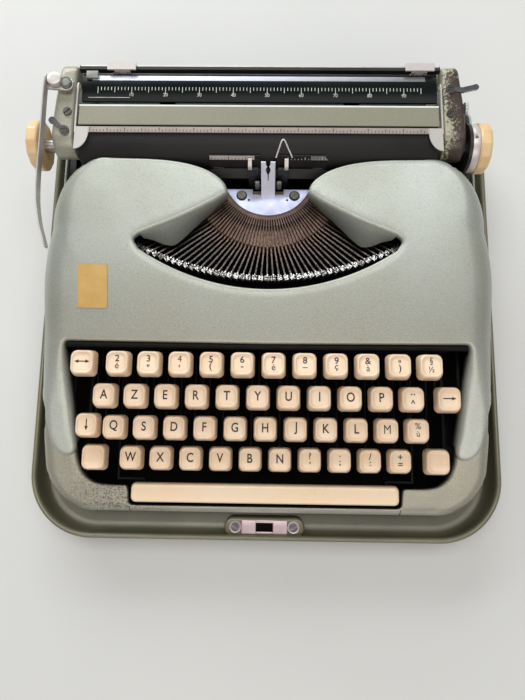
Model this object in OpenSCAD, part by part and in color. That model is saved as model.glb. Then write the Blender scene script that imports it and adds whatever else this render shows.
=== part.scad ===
// Portable typewriter standing in the lower half of its carrying case.
// X runs to the right, Y to the back, Z up; the origin is under the middle of the tray.
// The carriage stands a little left of centre, as it is found when a line is begun.

/* [Tray] */
// Room between the body and the side of the tray
tray_side_gap = 15; // [13:0.5:18]
// Room between the apron and the front of the tray
tray_front_gap = 18; // [16:0.5:20]
// Height of the tray rim above the table
tray_h = 29; // [26:0.5:31]
// Corner radius of the tray
tray_corner_r = 43; // [36:1:48]
// Width of the rolled rim
rim_w = 3.6; // [3:0.1:5]
// Height of the rubber feet
foot_h = 5; // [4:0.5:6]
// Diameter of the rubber feet
foot_d = 18; // [12:1:24]

/* [Body] */
// Width of each side arm of the cover, beside the key well
arm_w = 19; // [18:0.5:20]
// Front of the apron, in front of the middle of the tray
apron_front = -139; // [-142:0.5:-137]
// Sheet thickness of the cover and apron
sheet_t = 1.6; // [1.2:0.1:2]
// Cover height at the back edge of the key well
deck_z = 74; // [73:0.5:76]
// Cover height at its back edge, in front of the platen
ridge_z = 98; // [97:0.5:99]

/* [Keyboard] */
// Distance from key to key along a row
key_pitch = 19.05; // [18.6:0.05:19.2]
// Distance from row to row
row_pitch = 19.1; // [18.8:0.1:19.3]
// Height step from row to row
row_rise = 8.7; // [8.5:0.1:8.9]
// Height of the number row key tops
key_top_z = 80; // [79:0.5:81]
// Width of a type key at its foot
key_w = 15.8; // [14.8:0.1:16.2]
// Width of the shift keys at their foot
shift_w = 16.8; // [15.5:0.1:17]
// Height of a key cap
key_h = 7.8; // [6.5:0.1:8.2]
// Length of the space bar
space_w = 174; // [160:1:176]
// Depth of the space bar
space_d = 12.6; // [10:0.2:13]

/* [Type basket] */
// Number of typebars
bar_count = 43; // [39:2:43]
// Thickness of a typebar
bar_t = 0.9; // [0.7:0.1:0.9]
// Radius of the segment
segment_r = 50; // [49.5:0.5:53]
// Radius of the ribbon spools
spool_r = 20; // [17:0.5:20]

/* [Carriage] */
// Carriage position, left of centre is negative
carriage_x = -6.5; // [-8:0.5:-5]
// Radius of the platen
platen_r = 15; // [14:0.25:15]
// Length of the platen
platen_l = 221; // [218:0.5:222]
// Radius of the platen shaft
shaft_r = 4; // [3:0.25:5]
// Radius of the platen knobs
knob_r = 16; // [14:0.5:16]
// Length of the platen knobs
knob_l = 8; // [7.5:0.5:13]
// Height of the cheek tops
cheek_z = 102.4; // [102:0.1:102.6]
// Height of the return lever blade
lever_h = 5.6; // [4:0.2:7]
// Width of the margin stops
stop_w = 18; // [14:1:20]

/* [Hidden] */
// Gap between a sliding or swinging piece and its neighbour
slide_gap = 0.15;
// Radial clearance of a pin in its hole
pin_gap = 0.06;
$fn = 48;

// Keyboard width in key pitches, with the function keys outside the rows
shift_x = 5.75 * key_pitch;
margin_x = -shift_x - 2.46;
tab_x = shift_x + 3.16;
lock_x = -shift_x - 2.96;
well_half = 6.5 * key_pitch + 1.175;
half_w = well_half + arm_w;
body_w = 2 * half_w;

// Tray
tray_w = body_w + 2 * tray_side_gap;
tray_d = 2 * (tray_front_gap - apron_front);
tray_wall = 2;
tray_floor = 2;
rim_depth = 4;
floor_z = foot_h + tray_floor;
foot_x = tray_w / 2 - 41;
foot_y = tray_d / 2 - 41;
ledge_w = 54;
ledge_y = -tray_d / 2 + rim_w + 10.4;
ledge_z = tray_h - 5;
latch_w = 48;
latch_t = 1.2;
latch_slot = [11.4, 5.4];
latch_y = -tray_d / 2 + rim_w + 4.8;
latch_screw_x = 19.5;
screw_r = 1.45;

// Frame
flange_z = 14;
flange_t = 1.5;
flange_w = body_w + 1;
flange_front = apron_front + 1;
flange_back = 137;
post_x = well_half + 6;
post_y = 96;
post_r = 5;
web_x = well_half + 1.5;
web_t = 2;

// Cover plan: straight sides, a slight taper, then a round back corner
taper = 6;
back_r = 40;
back_y = 79.5;
corner_y = back_y - back_r;
corner_x = half_w - taper - back_r;
arm_y = apron_front + 38;
deck_y = apron_front + 107;
arm_slope = 0.348;
arc_r = 146.4;
arc_y = 1;
wing_in = [25, 66];
wing_out = [82, 34.8];
back_slope = (ridge_z - deck_z) / (back_y - deck_y);

// Apron plan
apron_half_w = half_w + 1.5;
apron_r = 32;
apron_cy = apron_front + apron_r;
apron_cx = apron_half_w - apron_r;
apron_back = apron_front + 76;
lip_drop = 3.2;

// Rear cover plan
rear_half = half_w - 5;
rear_y = 90;

// Keyboard: quarter-pitch stagger lets every lever run straight to the rod
row_count = [11, 11, 11, 10];
row_shift = [0.5, 0, 0.25, 0.75];
row1_y = deck_y - 14;
rod_y = 84;
rod_z = 34;
rod_r = 2;
key_lever_t = 1.2;
key_lever_h = 6;
stem_w = 6;
lever_dip = 1.6;
lock_dy = 0.9;
space_y = apron_front + 13.4;
space_top_z = 44;
space_arm_x = 5.11 * key_pitch;
space_stem_x = space_w / 2 - 7;
space_jog_y = space_y + 10.7;
yoke_y = 60;

// Type basket
print_y = 80.4;
basket_z = 60;
basket_t = 2;
seat_z = basket_z + basket_t;
segment_z = 74;
fan_deg = 57;
root_r = 37;
slot_r = 36;
bar_z = 68.5;
bar_h = 3;
slug_x = 84;
slug_y = 10;
slug_rise = 21;
plate_t = 1.6;
plate_r = 31;
plate_back = 68;
plate_screw = [17, 64.3];
wall_z = segment_z + plate_t + 0.6;
spool_x = 100;
spool_y = 54;
spool_z = 65;
spool_h = 14;
spool_pin_r = 3;
ribbon_y = 75;
ribbon_t = 0.4;
ribbon_h = 13;
ribbon_z = 78;

// Carriage
platen_y = 92;
platen_z = 86;
inner_x = platen_l / 2 + 2.5;
bed_z = 63;
bed_t = 3;
bed_y = [84, 138];
rail_z = 57;
rail_r = 3;
rail_y = [88, 126];
rail_half = half_w - 9;
runner_x = 28;
cheek_front = 82;
cheek_back = 140;
bail_y = 124;
bail_z = 99.4;
bail_pin_r = 1.5;
bail_t = 0.8;
bail_half = inner_x - 8.5;
roller_r = 4.6;
roller_half = inner_x - 23;
roller_a = 40;
roller_reach = platen_r + roller_r + 0.3;
roller_y = platen_y + roller_reach * cos(roller_a);
roller_z = platen_z - roller_reach * sin(roller_a);
stop_rail = [137.2, 140, 95, 99];
lever_z = 104.6;
pivot_x = -inner_x - 4.5;
pivot_y = 122;
spacing_x = -inner_x - 5;
spacing_y = 93;
cheek_screw = [inner_x + 4, 105.6];
cheek_holes = [cheek_screw, [-pivot_x, pivot_y], [-spacing_x, spacing_y]];
release_y = 118;
release_z = 82;
knob_x = inner_x + 22.5 + knob_l;
ring_x = inner_x + 16;
drum_x = 39 - half_w;
drum_z = 36;
drum_r = 16;
drum_y = [108, 120];

function mix(a, b, t) = a + (b - a) * t;
function clamp01(t) = min(1, max(0, t));
function ease(t) = let (c = clamp01(t)) c * c * (3 - 2 * c);
function round_off(r, d) = d >= r ? 0 : r - sqrt(max(0, r * r - (r - max(0, d)) * (r - max(0, d))));

// Cover surface: height at a point, inset by i from the outside
function crown_z(y) = deck_z + (y < deck_y ? arm_slope : back_slope) * (y - deck_y);
function cover_half(y, i) =
    y < 0 ? half_w - i :
    y < corner_y ? half_w - i - taper * pow(y / corner_y, 2) :
    corner_x + sqrt(max(0, pow(back_r - i, 2) - pow(y - corner_y, 2)));
function cover_edge(x, y, i) =
    y < corner_y ? cover_half(y, i) - abs(x) :
    abs(x) > corner_x ? back_r - i - norm([abs(x) - corner_x, y - corner_y]) : back_y - i - y;
function cover_round(x, y) =
    y < corner_y ? mix(6, 19, clamp01((y - arm_y - 26) / 45)) :
    mix(19, 2.5, ease(atan2(y - corner_y, max(0.001, abs(x) - corner_x)) / 90));
function cover_z(x, y, i) =
    crown_z(y) - i - round_off(max(0.5, cover_round(x, y) - i), cover_edge(x, y, i));
function cover_rows(i) = concat(
    [arm_y + i], [for (d = [4, 11, 23, 37, 53]) arm_y + d],
    [deck_y, deck_y / 2, 0, 14, 28, corner_y],
    [for (a = [15, 30, 45, 60, 75, 90]) corner_y + (back_r - i) * sin(a)]);

// Apron surface, the same way
function apron_top(y) = min(40 + 0.42 * (y - apron_front - 19), crown_z(y) - lip_drop,
    52.7 + 0.27 * (y - apron_front - 55));
function apron_half(y, i) =
    y > apron_cy ? apron_half_w - i :
    apron_cx + sqrt(max(0, pow(apron_r - i, 2) - pow(apron_cy - y, 2)));
function apron_edge(x, y, i) =
    y > apron_cy ? apron_half(y, i) - abs(x) :
    abs(x) > apron_cx ? apron_r - i - norm([abs(x) - apron_cx, apron_cy - y]) : y - apron_front - i;
function apron_round(x, y) =
    y > apron_cy ? 8 : mix(8, 5, ease(atan2(apron_cy - y, max(0.001, abs(x) - apron_cx)) / 90));
function apron_z(x, y, i) =
    apron_top(y) - i - round_off(max(0.5, apron_round(x, y) - i), apron_edge(x, y, i));
function apron_rows(i) = concat(
    [for (a = [90, 78, 66, 54, 42, 30, 15]) apron_cy - (apron_r - i) * sin(a)],
    [apron_cy, apron_cy + 8, apron_cy + 20, apron_cy + 32, apron_back - i]);

// Shares of the half width: close together over the round shoulder
side_u = concat([for (a = [90:-15:0]) 1 - 0.132 * (1 - sin(a))], [0.58, 0.4, 0.2]);
grid_u = concat([for (u = side_u) -u], [0], [for (k = [len(side_u) - 1:-1:0]) side_u[k]]);

// A sheet between two grids of surface points, with skirts down to the bottom;
// rows run from front to back
module surface_shell(outside, inside, bottom) {
    n = len(outside[0]);
    m = len(outside);
    rim = concat([for (i = [0:n - 1]) i], [for (j = [1:m - 1]) j * n + n - 1],
        [for (i = [n - 2:-1:0]) (m - 1) * n + i], [for (j = [m - 2:-1:1]) j * n]);
    c = len(rim);
    top = [for (r = outside) each r];
    under = [for (r = inside) each r];
    points = concat(top, [for (k = rim) [top[k][0], top[k][1], bottom]],
        under, [for (k = rim) [under[k][0], under[k][1], bottom]]);
    half = m * n + c;
    skin = [for (j = [0:m - 2], i = [0:n - 2]) let (a = j * n + i)
        each [[a, a + n, a + 1], [a + 1, a + n, a + n + 1]]];
    wall = [for (k = [0:c - 1]) let (q = (k + 1) % c, b = m * n)
        each [[rim[k], rim[q], b + k], [rim[q], b + q, b + k]]];
    lining = [for (f = concat(skin, wall)) [f[0] + half, f[2] + half, f[1] + half]];
    seam = [for (k = [0:c - 1]) let (q = (k + 1) % c, b = m * n)
        each [[b + k, b + q, b + k + half], [b + q, b + q + half, b + k + half]]];
    polyhedron(points, concat(skin, wall, lining, seam));
}

function cover_grid(i) = [for (y = cover_rows(i)) [for (u = grid_u)
    let (x = u * cover_half(y, i)) [x, y, cover_z(x, y, i)]]];

function apron_grid(i) = [for (y = apron_rows(i)) [for (u = grid_u)
    let (x = u * apron_half(y, i)) [x, y, apron_z(x, y, i)]]];

module rounded_rect(w, d, r) {
    square([w - 2 * r, d], center = true);
    square([w, d - 2 * r], center = true);
    for (sx = [-1, 1], sy = [-1, 1])
        translate([sx * (w / 2 - r), sy * (d / 2 - r)])
            circle(r);
}

// Extrudes a side view, drawn as (y, z), along X from x
module along_x(x, l)
    translate([x, 0, 0])
        rotate([90, 0, 90])
            linear_extrude(l)
                children();

module rod_x(x, l, r, y, z)
    translate([x, y, z])
        rotate([0, 90, 0])
            cylinder(r = r, h = l);

module slotted_screw(head_r, head_h, shank) {
    translate([0, 0, -shank])
        cylinder(r = screw_r, h = shank + 0.1);
    difference() {
        cylinder(r = head_r, h = head_h);
        translate([-head_r, -0.35, head_h - 0.6])
            cube([2 * head_r, 0.7, 1]);
    }
}

module on_carriage()
    translate([carriage_x, 0, 0])
        children();

// Tray

module base_tray()
    color("DarkOliveGreen")
    difference() {
        union() {
            difference() {
                translate([0, 0, foot_h])
                    linear_extrude(tray_h - foot_h)
                        rounded_rect(tray_w, tray_d, tray_corner_r);
                translate([0, 0, floor_z])
                    linear_extrude(tray_h - rim_depth - floor_z)
                        rounded_rect(tray_w - 2 * tray_wall, tray_d - 2 * tray_wall,
                            tray_corner_r - tray_wall);
                translate([0, 0, floor_z + 1])
                    linear_extrude(tray_h)
                        rounded_rect(tray_w - 2 * rim_w, tray_d - 2 * rim_w, tray_corner_r - rim_w);
            }
            translate([-ledge_w / 2, -tray_d / 2 + 1, foot_h + 0.5])
                cube([ledge_w, ledge_y + tray_d / 2 - 1, ledge_z - foot_h - 0.5]);
            for (sx = [-1, 1], sy = [-1, 1])
                translate([sx * post_x, sy * post_y, foot_h + 0.5])
                    cylinder(r = post_r, h = flange_z - flange_t - foot_h - 0.5);
        }
        translate([-latch_slot[0] / 2, latch_y - latch_slot[1] / 2, ledge_z - 9])
            cube([latch_slot[0], latch_slot[1], 20]);
        for (sx = [-1, 1])
            translate([sx * latch_screw_x, latch_y, ledge_z - 9])
                cylinder(r = screw_r + pin_gap, h = 20);
    }

module tray_feet()
    color("DimGray")
    for (sx = [-1, 1], sy = [-1, 1])
        translate([sx * foot_x, sy * foot_y, 0])
            cylinder(d = foot_d, h = foot_h);

module latch_plate()
    color("Silver")
    translate([0, latch_y, ledge_z])
        linear_extrude(latch_t)
            difference() {
                rounded_rect(latch_w, 9, 2);
                square(latch_slot, center = true);
                for (sx = [-1, 1])
                    translate([sx * latch_screw_x, 0])
                        circle(screw_r + pin_gap);
            }

module latch_screws()
    color("Silver")
    for (sx = [-1, 1])
        translate([sx * latch_screw_x, latch_y, ledge_z + latch_t])
            rotate([0, 0, 30 * sx])
                slotted_screw(2.8, 1.4, 8);

// Frame and body shell

module frame_plan()
    difference() {
        union() {
            translate([0, (flange_front + flange_back) / 2])
                rounded_rect(flange_w, flange_back - flange_front, 34);
            translate([0, flange_back - 30])
                rounded_rect(2 * rear_half, 60, 8);
        }
        translate([-web_x + 2, flange_front + 26])
            square([2 * web_x - 4, flange_back - flange_front - 45]);
    }

module base_frame()
    color("DimGray")
    difference() {
        union() {
            translate([0, 0, flange_z - flange_t])
                linear_extrude(flange_t)
                    frame_plan();
            for (sx = [-1, 1]) {
                translate([sx * (web_x + web_t / 2) - web_t / 2, arm_y + 9, flange_z - 0.5])
                    cube([web_t, rod_y + 7 - arm_y, 30.5]);
                translate([sx * (web_x + web_t / 2) - web_t / 2, 56, flange_z])
                    cube([web_t, 12, seat_z - flange_z]);
                translate([sx * (half_w - 11) - 2, rail_y[0] - 5, flange_z - 0.5])
                    cube([4, rail_y[1] - rail_y[0] + 10, bed_z - 1 - flange_z + 0.5]);
            }
            translate([drum_x - 8, drum_y[1] + 0.5, flange_z - 0.5])
                cube([16, 3, drum_z + 8 - flange_z]);
            translate([drum_x, drum_y[1] + 1, drum_z])
                rotate([90, 0, 0])
                    cylinder(r = 3, h = drum_y[1] - drum_y[0] + 1);
        }
        rod_x(-web_x - 10, 2 * web_x + 20, rod_r + pin_gap, rod_y, rod_z);
        for (y = rail_y)
            rod_x(-rail_half - 10, 2 * rail_half + 20, rail_r + 0.02, y, rail_z);
    }

module well_plan()
    polygon([[-well_half, deck_y], [well_half, deck_y], [well_half - 4, arm_y + 2],
        [well_half - 4, arm_y - 9], [4 - well_half, arm_y - 9], [4 - well_half, arm_y + 2]]);

// Open type basket: an arc in front, straight wing edges, a throat to the back
module basket_plan()
    difference() {
        translate([0, arc_y + arc_r])
            circle(arc_r, $fn = 96);
        for (sx = [0, 1])
            mirror([sx, 0])
                wing_plan();
    }

module wing_plan()
    polygon([wing_in, wing_out, [90, 30], [250, 30], [250, 400], [wing_in[0], 400]]);

module arm_tip_plan()
    translate([half_w, arm_y])
        polygon([[6, 45], [-0.2, 41], [-3, 33], [-3.6, 22], [-4.8, 12], [-7, 5.5], [-10.5, 1.4], [-15.5, -1],
            [-15.5, -11], [6, -11]]);

module top_cover()
    color("DarkSeaGreen") {
        difference() {
            surface_shell(cover_grid(0), cover_grid(sheet_t), flange_z);
            translate([0, 0, -1])
                linear_extrude(140)
                    well_plan();
            translate([0, 0, -1])
                linear_extrude(140)
                    basket_plan();
            for (sx = [0, 1])
                mirror([sx, 0, 0])
                    translate([0, 0, -1])
                        linear_extrude(140)
                            arm_tip_plan();
            rod_x(-250, 500, knob_r + 0.8, platen_y, platen_z);
            translate([-half_w, corner_y + 21, 0])
                cube([body_w, back_r, bed_z + 3]);
            translate([-half_w, arm_y - 1, 0])
                cube([body_w, sheet_t + 2, crown_z(arm_y) - sheet_t]);
        }
        for (sx = [0, 1])
            mirror([sx, 0, 0])
                wing_wall();
    }

// Upright wall under the straight edge of a wing
module wing_wall() {
    run = norm(wing_out - wing_in);
    turn = atan2(wing_out[1] - wing_in[1], wing_out[0] - wing_in[0]);
    translate([wing_in[0], wing_in[1], 0])
        rotate([90, 0, turn])
            translate([0, 0, -sheet_t])
                linear_extrude(sheet_t)
                    polygon([[0, wall_z], [run, wall_z],
                        [run, cover_z(wing_out[0], wing_out[1], sheet_t / 2)],
                        [0, cover_z(wing_in[0], wing_in[1], sheet_t / 2)]]);
}

module front_apron()
    color("DarkSeaGreen")
    difference() {
        surface_shell(apron_grid(0), apron_grid(sheet_t), flange_z);
        translate([-200, apron_back - 3, 0])
            cube([400, 20, 100]);
        translate([0, 0, -1])
            linear_extrude(100)
                for (sx = [0, 1])
                    mirror([sx, 0])
                        polygon([[-1, apron_back + 2], [well_half - 1.6, apron_back + 2],
                            [well_half - 1.6, apron_front + 36], [well_half - 5.5, apron_front + 25.5],
                            [well_half - 16, apron_front + 17.5], [space_w / 2 + 3, apron_front + 17.3],
                            [space_w / 2 + 3, space_y - space_d / 2 - 2.6],
                            [-1, space_y - space_d / 2 - 2.6]]);
    }

module rear_cover()
    color("DarkSeaGreen")
    translate([0, 0, flange_z])
        linear_extrude(bed_z - 2 - flange_z)
            difference() {
                translate([0, rear_y])
                    rounded_rect(2 * rear_half, 92, 8);
                translate([0, rear_y])
                    rounded_rect(2 * (rear_half - sheet_t), 92 - 2 * sheet_t, 8 - sheet_t);
                translate([-200, 0])
                    square([400, corner_y + 22]);
            }

// Keyboard

function key_x(r, i) = key_pitch * (i + row_shift[r] - 5.25);
function key_y(r) = row1_y - r * row_pitch;
function key_z(r) = key_top_z - r * row_rise;

module key_rod()
    color("Silver")
    rod_x(-web_x - web_t, 2 * (web_x + web_t), rod_r, rod_y, rod_z);

module key_cap(w, d)
    hull() {
        linear_extrude(1)
            rounded_rect(w, d, 3.2, $fn = 16);
        translate([0, 0, key_h - 0.4])
            linear_extrude(0.4)
                rounded_rect(w - 2.4, d - 2.4, 3.8, $fn = 16);
    }

// Flat lever from the rod to a key stem; a dip lowers its top under the keys it passes
module key_lever(x, y, z, dip = 0)
    along_x(x - key_lever_t / 2, key_lever_t)
        difference() {
            polygon(concat(
                [[rod_y + 5, rod_z - key_lever_h / 2], [rod_y + 5, rod_z + key_lever_h / 2]],
                dip > 0 ? [[rod_y - 40, rod_z + key_lever_h / 2]] : [],
                [[y + stem_w / 2, rod_z + key_lever_h / 2 - dip], [y + stem_w / 2, z],
                    [y - stem_w / 2, z], [y - stem_w / 2, rod_z - key_lever_h / 2]]));
            translate([rod_y, rod_z])
                circle(rod_r + pin_gap);
        }

module row_caps(r)
    color("Wheat")
    for (i = [0:row_count[r] - 1])
        translate([key_x(r, i), key_y(r), key_z(r) - key_h])
            key_cap(key_w, key_w);

module row_levers(r)
    color("DimGray")
    for (i = [0:row_count[r] - 1])
        key_lever(key_x(r, i), key_y(r), key_z(r) - key_h);

module number_row_caps() row_caps(0);
module number_row_levers() row_levers(0);
module top_row_caps() row_caps(1);
module top_row_levers() row_levers(1);
module home_row_caps() row_caps(2);
module home_row_levers() row_levers(2);
module bottom_row_caps() row_caps(3);
module bottom_row_levers() row_levers(3);

// Cap and lever of a function key in one piece
module function_key(x, lever_x, y, z, w) {
    translate([x, y, z - key_h])
        key_cap(w, w);
    key_lever(lever_x, y, z - key_h + 0.5);
}

module margin_release_key()
    color("Wheat")
    function_key(margin_x, margin_x, key_y(0), key_z(0), key_w + 0.4);

module tab_key()
    color("Wheat")
    function_key(tab_x, tab_x + 1, key_y(1), key_z(1), key_w + 0.4);

module shift_lock_key()
    color("Wheat")
    function_key(lock_x, lock_x - 2, key_y(2) + lock_dy, key_z(2), key_w);

module shift_key_left()
    color("Wheat")
    translate([-shift_x, key_y(3), key_z(3) - key_h])
        key_cap(shift_w, shift_w);

module shift_key_right()
    color("Wheat")
    translate([shift_x, key_y(3), key_z(3) - key_h])
        key_cap(shift_w, shift_w);

module shift_yoke()
    color("DimGray") {
        for (sx = [-1, 1]) {
            key_lever(sx * (shift_x - 1.6), key_y(3), key_z(3) - key_h, lever_dip);
            translate([sx * (shift_x - 1.6) - key_lever_t / 2, yoke_y - 2, rod_z - 12])
                cube([key_lever_t, 4, 10]);
        }
        translate([-shift_x + 1.6, yoke_y - 2, rod_z - 12])
            cube([2 * shift_x - 3.2, 4, 4]);
    }

module space_bar()
    color("Wheat")
    translate([0, space_y, rod_z + key_lever_h / 2])
        hull() {
            linear_extrude(1)
                rounded_rect(space_w, space_d, 2.6, $fn = 24);
            translate([0, 0, space_top_z - rod_z - key_lever_h / 2 - 0.4])
                linear_extrude(0.4)
                    rounded_rect(space_w - 3, space_d - 3, 3, $fn = 24);
        }

// Side arms pass outside the front row and step in under the bar
module space_bar_arms()
    color("DimGray")
    for (sx = [0, 1])
        mirror([sx, 0, 0]) {
            key_lever(space_arm_x, space_jog_y, rod_z + 1, lever_dip);
            translate([space_stem_x - key_lever_t / 2, space_jog_y - stem_w / 2, rod_z - key_lever_h / 2])
                cube([space_arm_x - space_stem_x + key_lever_t, key_lever_t, key_lever_h / 2 + 1]);
            along_x(space_stem_x - key_lever_t / 2, key_lever_t)
                polygon([[space_jog_y - stem_w / 2 + key_lever_t / 2, rod_z - key_lever_h / 2],
                    [space_jog_y - stem_w / 2 + key_lever_t / 2, rod_z + 1],
                    [space_y + stem_w / 2, rod_z + 1], [space_y + stem_w / 2, rod_z + key_lever_h / 2],
                    [space_y - stem_w / 2, rod_z + key_lever_h / 2],
                    [space_y - stem_w / 2, rod_z - key_lever_h / 2]]);
        }

// Type basket

module basket_frame()
    color("DimGray")
    difference() {
        union() {
            translate([0, 0, basket_z])
                linear_extrude(basket_t)
                    polygon([[-web_x, 57], [-web_x, 67], [-46, 67], [-46, 78], [46, 78], [46, 67],
                        [web_x, 67], [web_x, 57], [90, 22], [42, 2], [-42, 2], [-90, 22]]);
            for (sx = [-1, 1])
                translate([sx * spool_x, spool_y, basket_z]) {
                    cylinder(r = spool_r + 1, h = spool_z - basket_z - 0.3);
                    cylinder(r = spool_pin_r, h = spool_z + spool_h - basket_z + 2);
                }
        }
        translate([-3 - 2 * slide_gap, ribbon_y - 2.2 - 2 * slide_gap, basket_z - 1])
            cube([6 + 4 * slide_gap, 1.4 + 4 * slide_gap, 10]);
    }

module fan_plan(r)
    intersection() {
        circle(r, $fn = 96);
        polygon([[0, 0], [-100 * sin(61), -100 * cos(61)], [-100, -100], [100, -100],
            [100 * sin(61), -100 * cos(61)]]);
    }

module hub_plan(r)
    intersection() {
        circle(r, $fn = 96);
        translate([-60, -100])
            square([120, 100 + plate_back - print_y]);
    }

function bar_deg(k) = fan_deg * (2 * k / (bar_count - 1) - 1);

module segment()
    color("Peru")
    translate([0, print_y, 0])
        difference() {
            translate([0, 0, seat_z])
                linear_extrude(segment_z - seat_z) {
                    difference() {
                        fan_plan(segment_r);
                        circle(32);
                    }
                    hub_plan(33);
                }
            for (k = [0:bar_count - 1])
                rotate([0, 0, bar_deg(k)])
                    translate([-bar_t / 2 - slide_gap, -segment_r - 2, bar_z - 0.4])
                        cube([bar_t + 2 * slide_gap, segment_r + 2 - slot_r, 20]);
            for (sx = [-1, 1])
                translate([sx * plate_screw[0], plate_screw[1] - print_y, segment_z - 8])
                    cylinder(r = screw_r + pin_gap, h = 20);
        }

module segment_plate()
    color("Gainsboro") {
        translate([0, print_y, segment_z])
            difference() {
                linear_extrude(plate_t)
                    hub_plan(plate_r);
                for (sx = [-1, 1]) {
                    translate([sx * plate_screw[0], plate_screw[1] - print_y, -1])
                        cylinder(r = screw_r + pin_gap, h = 10);
                    translate([sx * 8.6 - 2.2, plate_back - print_y - 4, -1])
                        cube([4.4, 10, 10]);
                }
            }
        difference() {
            along_x(-4.4, 8.8)
                polygon([[60.5, segment_z + 0.4], [64, segment_z + 0.4], [72, 91], [70.6, 92]]);
            translate([-1.3, 60, 84])
                cube([2.6, 20, 20]);
        }
    }

module segment_screws()
    color("DimGray")
    for (sx = [-1, 1])
        translate([sx * plate_screw[0], plate_screw[1], segment_z + plate_t])
            rotate([0, 0, 50 * sx])
                slotted_screw(2.6, 1.2, 7);

// Plan of one bent typebar: a root along the segment slot, then out to its type slug
function fan_dir(a) = [sin(a), -cos(a)];
function bar_tip(k) = let (s = 2 * k / (bar_count - 1) - 1) [slug_x * s, slug_y + slug_rise * s * s];
function unit(v) = v / norm(v);
function side_of(v) = [-v[1], v[0]];
function bar_path(k) =
    let (a = bar_deg(k), c = [0, print_y], p = c + root_r * fan_dir(a),
        q = c + (segment_r + 2) * fan_dir(a), e = bar_tip(k),
        n1 = side_of(fan_dir(a)) * bar_t / 2, n2 = side_of(unit(e - q)) * bar_t / 2,
        nm = unit(n1 + n2) * bar_t / 2)
    [p + n1, q + nm, e + n2, e - n2, q - nm, p - n1];

module typebars()
    color("SlateGray")
    for (k = [0:bar_count - 1]) {
        translate([0, 0, bar_z])
            linear_extrude(bar_h)
                polygon(bar_path(k));
        q = [0, print_y] + (segment_r + 2) * fan_dir(bar_deg(k));
        d = bar_tip(k) - q;
        translate([bar_tip(k)[0], bar_tip(k)[1], bar_z - 0.6])
            rotate([0, 0, atan2(d[1], d[0])])
                translate([-1.6, -1.2, 0])
                    cube([3.2, 2.4, 5.2]);
    }

module type_rest()
    color("DimGray")
    translate([0, 0, seat_z])
        linear_extrude(bar_z - 0.9 - seat_z)
            intersection() {
                translate([0, 188.5])
                    difference() {
                        circle(182.5, $fn = 96);
                        circle(173.5, $fn = 96);
                    }
                translate([-85, -20])
                    square([170, 60]);
            }

module card_holders()
    color("DimGray")
    for (sx = [0, 1])
        mirror([sx, 0, 0]) {
            along_x(5, 31)
                polygon([[75.8, 89], [76.5, 89], [80.3, 98], [79.6, 98.4]]);
            translate([28, 75.7, seat_z])
                cube([6, 0.7, 28]);
        }

module ribbon()
    color("DimGray") {
        translate([-34, ribbon_y - ribbon_t / 2, ribbon_z])
            cube([68, ribbon_t, ribbon_h]);
        for (sx = [0, 1])
            mirror([sx, 0, 0])
                hull() {
                    translate([33.6, ribbon_y - ribbon_t / 2, ribbon_z])
                        cube([0.4, ribbon_t, ribbon_h]);
                    translate([72, spool_y + spool_r - 6, spool_z + 1.5])
                        cube([0.4, ribbon_t, ribbon_h - 2]);
                }
    }

module ribbon_vibrator()
    color("DimGray")
    translate([0, ribbon_y - 2.2, 0]) {
        translate([-3, 0, basket_z - 12])
            cube([6, 1.4, 24]);
        translate([-12.5, 0, basket_z + 8])
            cube([25, 1.4, 4]);
        for (sx = [-1, 1])
            translate([sx * 9.3 - 3.2, 0, basket_z + 10])
                cube([6.4, 1.4, 24]);
    }

// Flanged spool with its wound ribbon, seen as one round solid
module ribbon_spool(x)
    color("DimGray")
    translate([x, spool_y, spool_z])
        difference() {
            union() {
                cylinder(r = spool_r, h = 1);
                cylinder(r = spool_r - 5, h = spool_h);
                translate([0, 0, spool_h - 1])
                    cylinder(r = spool_r, h = 1);
            }
            translate([0, 0, -1])
                cylinder(r = spool_pin_r + pin_gap, h = spool_h + 2);
            for (a = [0, 120, 240])
                rotate([0, 0, a])
                    translate([8, 0, spool_h - 1.5])
                        cylinder(r = 2.5, h = 5);
        }

module ribbon_spool_left() ribbon_spool(-spool_x);
module ribbon_spool_right() ribbon_spool(spool_x);

module mainspring_drum()
    color("Silver")
    translate([drum_x, drum_y[1], drum_z])
        rotate([90, 0, 0])
            difference() {
                cylinder(r = drum_r, h = drum_y[1] - drum_y[0]);
                translate([0, 0, -1])
                    cylinder(r = 3 + pin_gap, h = 30);
                for (a = [0, 120, 240])
                    rotate([0, 0, a])
                        translate([10, 0, drum_y[1] - drum_y[0] - 2])
                            cylinder(r = 2.5, h = 5);
            }

// Carriage

module carriage_rails()
    color("Silver")
    for (y = rail_y)
        rod_x(-rail_half, 2 * rail_half, rail_r, y, rail_z);

module carriage_bed()
    color("DimGray")
    on_carriage()
    difference() {
        union() {
            translate([-inner_x, bed_y[0], bed_z])
                cube([2 * inner_x, bed_y[1] - bed_y[0], bed_t]);
            for (sx = [-1, 1], y = rail_y)
                translate([sx * runner_x - 7, y - 5.5, rail_z - 5.5])
                    cube([14, 11, bed_z - rail_z + 6]);
            for (sx = [-1, 1])
                translate([sx * (roller_half + 1.5) - 1, roller_y - 2.6, bed_z + 1])
                    cube([2, 6.6, roller_z + 2.9 - bed_z - 1]);
        }
        for (y = rail_y)
            rod_x(-200, 400, rail_r + pin_gap, y, rail_z);
        rod_x(-inner_x, 2 * inner_x, 2 + pin_gap, roller_y, roller_z);
    }

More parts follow.
